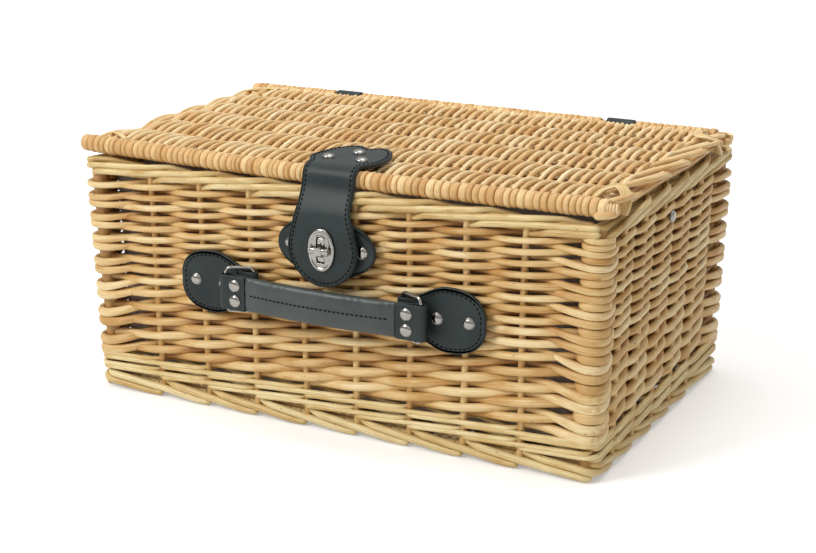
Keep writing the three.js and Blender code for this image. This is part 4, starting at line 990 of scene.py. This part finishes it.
def rows(values, half, columns=15, shift=None):
    # a grid whose row at each value spans from minus half to half
    across = np.asarray(half)[:, None] * np.linspace(-1, 1, columns)[None]
    along = np.asarray(values)[:, None] + 0 * across
    return (across, along) if shift is None else (across, along + shift(across, along))


def dome(x, y, z, axis, height, radius=4.9, sides=28, rim=0.5):
    # A rivet's head: an arc from its thin rim to its top, turned round its axis.
    arc = np.linspace(0, 1, 9)[:-1] * math.pi / 2
    profile = [(radius * 0.35, -1.0), (radius * 0.94, -0.15), (radius, 0.1), (radius * 0.985, rim)]
    profile += [(radius * 0.93 * math.cos(f), rim + (height - rim) * math.sin(f)) for f in arc]
    profile.append((radius * 0.06, height))
    side = unit(np.cross(axis, [0.31, 0.2, 0.93]))
    other = np.cross(axis, side)
    a = around(sides)
    spokes = np.cos(a)[:, None] * side + np.sin(a)[:, None] * other
    return stacked([np.array([x, y, z]) + axis * h + r * spokes for r, h in profile])


def rivet(name, body, x, y, z, height, axis=forward):
    # one domed head, standing for the CAD rivet of its name
    makePiece("domed_" + name, [dome(x, y, z, axis, height)], nickel, body, name)


# Handle patches: a rounded sheet each, narrowing to a tab that folds round the ring

patch = {"z": 111.5, "half": 25.0, "tab": 14.0, "from": 68.0, "widens": 70.0, "over": 32.0, "turn": 100.0,
         "reach": 133.5, "face": -148.456, "rivets": (94.0, 120.4), "ringX": 65.5,
         "ringY": -148.956, "sleeve": 2.7, "lift": 0.4, "inset": 2.9, "pitch": 3.8, "stitchFrom": 80.0}


def patchPlace(sign):
    def place(a, b, depth):
        # the sheet hollows between its rivets and lifts a little at its lower edge, by bells
        hollow = 0.9 * bell((b, 107, 9), (a, -1, 14)) - 0.5 * bell((b, 118, 12), (a, -14, 5))
        pull = 0.5 * sum(bell((b, x, 8), (a, 0, 8)) for x in patch["rivets"])
        y = patch["face"] + depth + hollow + pull - patch["lift"]
        return spots(centreX + sign * b, y, patch["z"] + a)
    return place


def handlePatch(sign):
    # half the height widens by a smooth step from the tab, then falls to a round end; the tab is a
    # band that folds round the ring's inner leg and returns behind itself
    length = patch["reach"] - patch["turn"]
    x = np.concatenate([np.linspace(patch["from"], patch["turn"], 12)[:-1],
                        patch["turn"] + (length - 0.5) * np.sin(np.linspace(0, 1.545, 22))])
    widen = patch["tab"] + (patch["half"] - patch["tab"]) * smooth((x - patch["widens"]) / patch["over"])
    fall = np.clip(1 - (np.maximum(x - patch["turn"], 0) / length) ** 2.9, 0, 1) ** 0.42
    place = patchPlace(sign)
    sheetPart, (la, lb, na, nb) = leatherShell(*rows(x, widen * fall - 0.4), place)
    sa, sb = la - na * patch["inset"], lb - nb * patch["inset"]
    order = np.argsort(np.arctan2(sa, patch["turn"] - sb))
    sa, sb = sa[order], sb[order]
    keep = sb > patch["stitchFrom"]
    t = np.linspace(0, math.pi, 12)
    r, ringX, ringY = patch["sleeve"], patch["ringX"], patch["ringY"]
    px = np.concatenate([[90.0, 80.0, 73.0], ringX - r * np.sin(t), [72.0, 78.0]])
    py = np.concatenate([[patch["face"] + 1.6, patch["face"] + 1.2, ringY - r], ringY - r * np.cos(t),
                         [ringY + r - 0.6, ringY + r - 0.8]])
    tab = sweep(spots(centreX + sign * px, py, patch["z"]), upward, 1.0,
                bandSection(2 * patch["tab"] - 0.6, 2.0, 0.6), cut=True)
    return [sheetPart, tab], stitchRow(sa[keep], sb[keep], patch["pitch"], place)


# Wire rings, riveted end loops and the padded grip. The loop's tail is the way its end runs back.

ringWire = {"radius": 1.3, "length": 22.0, "height": 35.5, "bend": 4.0, "tilt": math.radians(24), "z": 110.9}
ends = {"front": -162.004, "leather": 1.9, "inner": 66.4, "outer": 90.5, "back": -156.804,
        "wallSide": -153.804, "height": 28.0, "z": 109.6, "rivetX": 75.3, "rivetSpread": 12.4,
        "tail": (84.0, 79.0, 77.4, 75.4, 72.0)}


def wireRing(sign):
    # a rounded rectangle of wire in its own plane, swung out by its tilt about the inner leg
    half, bend, length, tilt = ringWire["height"] / 2, ringWire["bend"], ringWire["length"], ringWire["tilt"]
    line = []
    for i, (x, z) in enumerate([(0, -half), (length, -half), (length, half), (0, half)]):
        cx, cz = x + (-bend if x > 0 else bend), z + (-bend if z > 0 else bend)
        a = math.pi + i * math.pi / 2 + np.linspace(0, math.pi / 2, 8)
        line.append(np.stack([cx + bend * np.cos(a), cz + bend * np.sin(a)], 1))
    line = np.concatenate(line + [line[0][:1]])
    gone = runOf(line)
    at = np.linspace(0, gone[-1], 72, endpoint=False)
    x, z = np.interp(at, gone, line[:, 0]), np.interp(at, gone, line[:, 1])
    world = spots(centreX + sign * (patch["ringX"] + x * math.cos(tilt)), patch["ringY"] - x * math.sin(tilt),
                  ringWire["z"] + z)
    plane = np.array([sign * math.sin(tilt), math.cos(tilt), 0])
    return sweep(world, plane, ringWire["radius"], 12, closed=True)


def handleEnd(sign):
    # One band: out along the front, round the ring's outer leg and back behind itself.
    h = ends["leather"] / 2
    yFront, yBack, yWall = ends["front"] + h, ends["back"] - h, ends["wallSide"] - h
    r = (yWall - yFront) / 2
    t = np.linspace(-math.pi / 2, math.pi / 2, 14)
    turnX = ends["outer"] - h - r
    px = np.concatenate([np.linspace(ends["inner"], turnX, 8)[:-1], turnX + r * np.cos(t), ends["tail"],
                         [ends["inner"]]])
    py = np.concatenate([np.full(7, yFront), (yFront + yWall) / 2 + r * np.sin(t),
                         [yWall, yWall, yWall - 0.9, yBack + 0.4, yBack, yBack]])
    return sweep(spots(centreX + sign * px, py, ends["z"]), upward, 1.0,
                 bandSection(ends["height"], ends["leather"], 0.7), cut=True)


for side, sign in bothSides:
    parts, stitches = handlePatch(sign)
    makePiece("leather_patch_" + side, parts, leather, "basket", "handle_patch_" + side)
    makePiece("stitches_patch_" + side, [stitches], thread, "basket")
    makePiece("wire_ring_" + side, [wireRing(sign)], nickel, "ring_" + side, "handle_ring_" + side)
    makePiece("leather_end_" + side, [handleEnd(sign)], leather, "handle", "handle_end_" + side)
    for where, x in zip(("inner", "outer"), patch["rivets"]):
        rivet(f"patch_rivet_{side}_{where}", "basket", centreX + sign * x, patch["face"] + 0.2, patch["z"],
              2.9)
    for where, k in (("lower", -0.5), ("upper", 0.5)):
        rivet(f"handle_rivet_{side}_{where}", "handle", centreX + sign * ends["rivetX"], ends["front"] - 0.1,
              ends["z"] + k * ends["rivetSpread"], 2.1)

grip = {"half": 65.6, "height": 27.4, "thick": 9.5, "thin": 5.2, "bow": 4.8, "front": -162.004, "z": 109.6,
        "square": (0.5, 0.75), "seam": (0.55, 1.1), "wrinkle": 0.35, "stitches": (-62, 60), "pitch": 3.7}


def gripSurface():
    # Squared ovals along a bowed line, thicker in the middle, nipped at the front seam and wrinkled above.
    t, a = np.linspace(-1, 1, 110)[:, None], around(48)[None]
    swell = 1 - t * t
    thickness = grip["thin"] + (grip["thick"] - grip["thin"]) * np.minimum(1, 2.4 * swell)
    high, deep = squared(np.cos(a), grip["square"][0]), squared(np.sin(a), grip["square"][1])
    y = grip["front"] - grip["bow"] * swell + thickness / 2 + thickness / 2 * deep
    z = grip["z"] + grip["height"] / 2 * high
    onFront = np.clip(-np.sin(a), 0, 1)
    seam = grip["seam"][0] * bell((z, grip["z"], grip["seam"][1])) * onFront
    wrinkle = grip["wrinkle"] * np.sin(t * 41 + 3 * np.sin(t * 13)) * bell((high, 0.9, 0.25)) * onFront
    return stacked(list(spots(centreX + grip["half"] * t, y + seam + wrinkle, z)))


def gripPlace(a, b, depth):
    # the grip's front follows the bowed line
    swell = 1 - (b / grip["half"]) ** 2
    return spots(centreX + b, grip["front"] - grip["bow"] * swell + 0.3 + depth, grip["z"] + a)


gripPiece = makePiece("padded_grip", [gripSurface()], gripLeather, "handle", "handle_grip")
seamX = np.linspace(*grip["stitches"], 60)
makePiece("stitches_grip", [stitchRow(0 * seamX + 0.2, seamX, grip["pitch"], gripPlace)], thread, "handle")
print("handle made")

# The lock: oval backing patch, base plate with its block, flap plate and turning bar. Each profile
# is a run of (share of the way from the hole to the edge, height) places.

lock = {"z": 153.5, "patch": (42.5, 24.0), "face": -149.073, "rivets": 31.0, "plate": (11.5, 17.0),
        "slot": (3.8, 10.2), "bore": (2.6, 2.6), "baseBack": -149.473, "eyeletBack": -155.573,
        "holePower": 0.3, "bar": (8.8, 2.5), "barBack": -157.573, "barThick": 2.05, "neck": 2.4, "cap": 3.1,
        "block": (3.3, 9.6), "blockTall": 6.927}
tall = lock["blockTall"]
baseProfile = ((0, 0), (0, 1.2), (0.1, 1.45), (0.9, 1.45), (0.97, 1.3), (1, 0.9), (1, 0))
blockProfile = ((0, 0.6), (0, tall - 0.5), (0.25, tall - 0.5), (0.4, tall), (0.85, tall), (1, tall - 0.35),
                (1, 0.6))
eyeletProfile = ((0, 0), (0, 1.5), (0.03, 1.72), (0.12, 1.75), (0.18, 1.35), (0.52, 1.3), (0.58, 1.75),
                 (0.68, 2.0), (0.85, 1.95), (0.95, 1.5), (1.0, 0.8), (1.0, 0))


def lockPlace(a, b, depth):
    # the sheet is drawn in at its two rivets, by bells
    pull = 0.6 * bell((np.abs(b), lock["rivets"], 6), (a, 0, 7))
    return spots(centreX + b, lock["face"] + depth + pull - 0.2, lock["z"] + a)


def ovalPlate(backY, profile, slotSize, outerSize, outerPower=1.0, turns=64):
    # Rings between the slot's outline and the plate's, at the heights of the profile, which runs
    # round the plate's cut face and closes.
    oval = circleSection(turns, *outerSize, outerPower)
    hole = circleSection(turns, *slotSize, lock["holePower"])
    flats = [hole + (oval - hole) * v for v, _ in profile]
    return stacked([spots(centreX + flat[:, 0], backY - h, lock["z"] + flat[:, 1])
                    for flat, (_, h) in zip(flats, profile)], loop=True)


def turnBar():
    # A bar with flared, rounded ends on a round neck, under a squared cap.
    x = np.linspace(-1, 1, 41)
    flare = 1.0 + 0.28 * np.abs(x) ** 3 - 0.35 * smooth((np.abs(x) - 0.92) / 0.08)
    back, z = lock["barBack"], lock["z"]
    section = circleSection(14, lock["barThick"], lock["bar"][1] * 0.95, 0.6)
    bar = sweep(spots(centreX + lock["bar"][0] * 0.97 * x, back - 2.1, z), forward, flare, section, cut=True)
    neckY = np.array([lock["baseBack"] - 0.3, lock["baseBack"] - 4, back, back - 1])
    neck = sweep(spots(centreX, neckY, z), upward, lock["neck"], 16, cut=True)
    cap = sweep(spots(centreX, np.array([back - 0.2, back - 4.3]), z), upward, lock["cap"],
                circleSection(16, power=0.4), cut=True)
    return [bar, neck, cap]


t = np.linspace(-1.5, 1.5, 40)
high, wide = np.array(lock["patch"]) - 0.85
sheetPart, _ = leatherShell(*rows(high * np.sin(t), wide * np.cos(t)), lockPlace)
makePiece("leather_lock_patch", [sheetPart], leather, "basket", "lock_patch")
for side, sign in bothSides:
    rivet("lock_rivet_" + side, "basket", centreX + sign * lock["rivets"], lock["face"] + 0.2, lock["z"], 2.1)
basePlate = ovalPlate(lock["baseBack"], baseProfile, lock["bore"], lock["plate"])
block = ovalPlate(lock["baseBack"], blockProfile, lock["bore"], lock["block"], 0.3)
makePiece("oval_lock_base", [basePlate, block], nickel, "basket", "lock_base")
eyelet = ovalPlate(lock["eyeletBack"], eyeletProfile, lock["slot"], lock["plate"])
makePiece("oval_eyelet", [eyelet], nickel, "clasp", "lock_eyelet")
makePiece("turning_bar", turnBar(), nickel, "toggle", "turn_toggle")
print("lock made")

# The clasp: one strip from the lid's top over the front rail to the round end of the flap. The
# plate's half widths are given at distances behind the rail.

clasp = {"neck": 22.5, "length": 58.0, "dip": 6.0, "dipWide": 10.5, "flapHalf": 30.0, "bottom": 124.6,
         "top": 218.9, "bend": 10.9, "flapFace": -155.173, "lockZone": 176.5, "flareFrom": 188.0,
         "flareTo": 154.6, "rivets": ((-14.5, 15.5), (14.5, 15.5), (0.0, 37.0)), "inset": 2.6, "pitch": 3.7,
         "blend": (0.212, 0.196), "cut": (-161.0, -143.0), "slotRoom": 0.6,
         "behind": (0, 3, 7, 12, 17, 24, 34, 42, 48, 53, 56.5, 58),
         "halves": (22.5, 23.2, 25.5, 29.2, 30.4, 30.4, 29.2, 26.6, 23.4, 19.4, 15.2, 12.0)}


def claspPath():
    # the outer face from the back of the plate to the flap's bottom, as a dense line in y and z
    railY, railZ, r = lid["frontRail"], lid["z"] - lid["sag"], clasp["bend"]
    flatY = np.linspace(railY + clasp["length"] + 3, railY, 40)
    flatZ = railZ + r + lid["sag"] * (flatY - railY) / (lid["backRail"] - railY)
    t = np.linspace(0, math.pi / 2, 24)[1:]
    down = np.linspace(railZ, clasp["lockZone"], 26)[1:]
    below = np.linspace(clasp["lockZone"], clasp["bottom"] - 3, 30)[1:]
    fall = smooth((railZ - down) / (railZ - clasp["lockZone"]))
    y = np.concatenate([flatY, railY - r * np.sin(t), railY - r + (clasp["flapFace"] - railY + r) * fall,
                        np.full(len(below), clasp["flapFace"])])
    z = np.concatenate([flatZ, railZ + r * np.cos(t), down, below])
    return runOf(np.stack([y, z], 1)) - clasp["length"] - 3, y, z


pathGone, pathY, pathZ = claspPath()
pathTurn = np.unwrap(np.arctan2(np.gradient(pathZ), np.gradient(pathY)))


def claspPlace(a, b, depth):
    # b is minus the distance behind the rail's middle on the plate, and plus the distance past it;
    # between its rivets the plate hollows a little, by bells
    turn = np.interp(b, pathGone, pathTurn)
    hollow = 0.8 * bell((a, 0, 9), (b, -22, 8)) + 0.5 * bell((np.abs(a), 25, 6), (b, -30, 9))
    deep = depth + hollow
    return spots(centreX + a, np.interp(b, pathGone, pathY) - np.sin(turn) * deep,
                 np.interp(b, pathGone, pathZ) + np.cos(turn) * deep)


def dipShift(across, along):
    # the plate's back edge dips in the middle by a cosine
    share = smooth((-along - 26) / 32)
    wave = np.cos(np.clip(across / clasp["dipWide"], -1, 1) * math.pi)
    return share * clasp["dip"] * (0.5 + 0.5 * wave) ** 1.2


def claspStrip():
    # the plate's half widths, then the neck flaring by a smooth step, then the flap's half circle
    behind = np.concatenate([58 - 28 * (1 - np.cos(np.linspace(0, 1.5, 16))), np.linspace(28, 0, 12)])
    roundFrom = np.interp(-clasp["bottom"], -pathZ[40:], pathGone[40:]) - clasp["flapHalf"]
    ahead = np.linspace(0, roundFrom, 40)[1:]
    z = np.interp(ahead, pathGone, pathZ)
    flare = np.clip((clasp["flareFrom"] - z) / (clasp["flareFrom"] - clasp["flareTo"]), 0, 1)
    flare = (flare + smooth(flare)) / 2
    t = np.linspace(0, 1.53, 22)[1:]
    values = np.concatenate([-behind, ahead, roundFrom + clasp["flapHalf"] * np.sin(t)])
    half = np.concatenate([np.interp(behind, clasp["behind"], clasp["halves"]),
                           clasp["neck"] + (clasp["flapHalf"] - clasp["neck"]) * flare,
                           clasp["flapHalf"] * np.cos(t)])
    return leatherShell(*rows(values, half - 0.6, 25, dipShift), claspPlace)


stripPart, (la, lb, na, nb) = claspStrip()
strip = makePiece("clasp_strip", [stripPart], leather)
threadPart = stitchRow(la - na * clasp["inset"], lb - nb * clasp["inset"], clasp["pitch"], claspPlace,
                       closed=True)
stripThread = makePiece("stitches_clasp", [threadPart], thread)

# the slot is cut through the flap a little larger than the plate's
outline = circleSection(32, *(size + clasp["slotRoom"] for size in lock["slot"]), lock["holePower"])
cutter = makePiece("slot_cutter", [stacked([spots(centreX + outline[:, 0], y, lock["z"] + outline[:, 1])
                                            for y in clasp["cut"]])], leather)
hole = strip.modifiers.new("hole", "BOOLEAN")
hole.operation, hole.object, hole.solver = "DIFFERENCE", cutter, "EXACT"
bpy.context.view_layer.update()
cutMesh = bpy.data.meshes.new_from_object(strip.evaluated_get(bpy.context.evaluated_depsgraph_get()))
strip.modifiers.clear()
strip.data = cutMesh
bpy.data.objects.remove(cutter)

for piece in (strip, stripThread):
    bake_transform(piece)
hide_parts("clasp_strap", "clasp_flap")
for where, (x, y) in zip(("left", "right", "back"), clasp["rivets"]):
    rivet("clasp_rivet_" + where, "lid", centreX + x, lid["frontRail"] + y, clasp["top"] + 0.2, 2.4, upward)
print("clasp made")

# Hinge straps round the back rail and down over the rim, and the side rivets

hinge = {"width": 24.0, "leather": 2.2, "radius": 6.5, "wrap": (-62, -392), "overRim": 200.7, "edge": 4,
         "bottom": 148.0, "rivets": (158.0, 176.0), "out": 1.5, "rivetOut": 2.9}
sideRivet = {"y": -12.0, "z": 174.0, "out": 0.1}


def hingeStrap(x):
    # a circle round the rail, then a quarter circle over the rim and down the wall
    r, y0, over, edge = hinge["radius"], lid["backRail"], hinge["overRim"], hinge["edge"]
    t, b = np.radians(np.linspace(*hinge["wrap"], 34)), np.linspace(math.pi / 2, 0, 8)
    outY, endY = (halfOf("Depth", z) + hinge["out"] for z in (plan["rimTop"], hinge["bottom"]))
    y = np.concatenate([y0 + r * np.cos(t), [y0 + 6.0], outY - edge + edge * np.cos(b),
                        [endY + 0.6, endY + 0.3, endY]])
    z = np.concatenate([lid["z"] + r * np.sin(t), [over], over - edge + edge * np.sin(b),
                        [180.0, 164.0, hinge["bottom"]]])
    band = bandSection(hinge["width"], hinge["leather"], 0.6)
    return sweep(spots(x, y, z), np.array([1.0, 0, 0]), 1.0, band, cut=True)


for side, x in zip(("left", "right"), lid["hinges"]):
    makePiece("leather_hinge_" + side, [hingeStrap(x)], leather, "basket", "hinge_strap_" + side)
    for where, z in zip(("lower", "upper"), hinge["rivets"]):
        face = halfOf("Depth", z) + hinge["rivetOut"]
        rivet(f"hinge_rivet_{side}_{where}", "basket", x, face, z, 2.0, backward)
for side, sign in bothSides:
    x = sign * (halfOf("Width", sideRivet["z"]) + sideRivet["out"])
    rivet("side_rivet_" + side, "basket", x, sideRivet["y"], sideRivet["z"], 2.2, np.array([sign, 0.0, 0.0]))
print("hinges and rivets made")

# Floor, light and camera

stage = {"floorColour": 0.86, "floorLift": 0.32, "fade": (0.9, 2.6), "half": 40, "world": 0.38,
         "horizon": -0.1, "overhead": 0.75, "aim": (0, 0, 0.1),
         "lamps": {"key": ((-1.3, -1.9, 1.9), 1.3, 48.5), "fill": ((2.2, -1.2, 0.9), 1.6, 1.5),
                   "top": ((0.1, 0.3, 2.2), 1.4, 23.0)}}
# the photograph's view: turned to the right of the front, looking down a little
shot = {"azimuth": 27.81, "elevation": 17.12, "distance": 1435.4, "focal": 1700.7,
        "target": (-4.8, 0.0, 89.1), "imageWidth": 816, "sensor": 36.0}


def addStage():
    # the floor takes the shadow and fades to white away from the basket
    mesh = bpy.data.meshes.new("studio_floor")
    corners = [(x * stage["half"], y * stage["half"], 0) for x, y in ((-1, -1), (1, -1), (1, 1), (-1, 1))]
    mesh.from_pydata(corners, [], [(0, 1, 2, 3)])
    ground = bpy.data.objects.new("studio_floor", mesh)
    bpy.context.scene.collection.objects.link(ground)
    material, tree, shader = newMaterial("studio_floor")
    path = tree.nodes.new("ShaderNodeLightPath").outputs
    seen = addNode(tree, "Math", {0: path["Is Camera Ray"], 1: path["Is Glossy Ray"]}, operation="MAXIMUM")
    place = addNode(tree, "TexCoord", out="Object")
    far = addNode(tree, "VectorMath", {0: place}, "Value", operation="LENGTH")
    fade = mapped(tree, far, (stage["floorLift"], 1.0), stage["fade"])
    lift = addNode(tree, "Math", {0: seen, 1: fade}, operation="MULTIPLY")
    setInputs(tree, shader, {"Base Color": (stage["floorColour"],) * 3 + (1.0,), "Roughness": 0.9,
                             "Specular IOR Level": 0.1, "Emission Color": (1, 1, 1, 1),
                             "Emission Strength": lift})
    mesh.materials.append(material)


def addWorld():
    # Camera and clear rays see white, and the rest is lit by a softer grey. Glossy rays see a ceiling
    # that is white overhead and darkens evenly down to the horizon, which gives metal its contrast.
    world = bpy.data.worlds.new("studio")
    bpy.context.scene.world = world
    world.use_nodes = True
    tree = world.node_tree
    path = tree.nodes.new("ShaderNodeLightPath").outputs
    high = addNode(tree, "SeparateXYZ", {0: addNode(tree, "TexCoord", out="Generated")}, "Z")
    ceiling = mapped(tree, high, (stage["horizon"], 1.0), (0.0, stage["overhead"]))
    glossy = addNode(tree, "Math", {0: path["Is Glossy Ray"], 1: ceiling}, operation="MULTIPLY")
    seen = {0: path["Is Camera Ray"], 1: path["Is Transmission Ray"]}
    clear = addNode(tree, "Math", seen, operation="MAXIMUM")
    either = addNode(tree, "Math", {0: glossy, 1: clear}, operation="MAXIMUM")
    setInputs(tree, tree.nodes["Background"], {"Color": (1, 1, 1, 1),
                                               "Strength": mapped(tree, either, (stage["world"], 1.0))})


def addLamp(name, where, size, power):
    # a round area lamp turned to the basket
    data = bpy.data.lights.new(name, "AREA")
    data.shape, data.size, data.energy = "DISK", size, power
    lamp = bpy.data.objects.new(name, data)
    lamp.location = where
    lamp.rotation_mode = "QUATERNION"
    lamp.rotation_quaternion = (Vector(stage["aim"]) - Vector(where)).to_track_quat("-Z", "Y")
    bpy.context.scene.collection.objects.link(lamp)


def addCamera():
    # the camera stands at its distance from the target, round by the azimuth and up by the elevation
    data = bpy.data.cameras.new("camera")
    data.sensor_width, data.sensor_fit = shot["sensor"], "HORIZONTAL"
    data.lens = shot["sensor"] * shot["focal"] / shot["imageWidth"]
    data.clip_start, data.clip_end = 0.05, 60.0
    camera = bpy.data.objects.new("camera", data)
    bpy.context.scene.collection.objects.link(camera)
    a, e = math.radians(shot["azimuth"]), math.radians(shot["elevation"])
    away = Vector((math.sin(a) * math.cos(e), -math.cos(a) * math.cos(e), math.sin(e)))
    x, y, z = shot["target"]
    camera.location = Vector((x, y + rowShift, z)) * 0.001 + away * (shot["distance"] * 0.001)
    camera.rotation_mode = "QUATERNION"
    camera.rotation_quaternion = (-away).to_track_quat("-Z", "Y")
    bpy.context.scene.camera = camera


addStage()
addWorld()
for name, values in stage["lamps"].items():
    addLamp(name, *values)
addCamera()
bpy.context.scene.view_settings.view_transform = "Standard"
print("stage set")
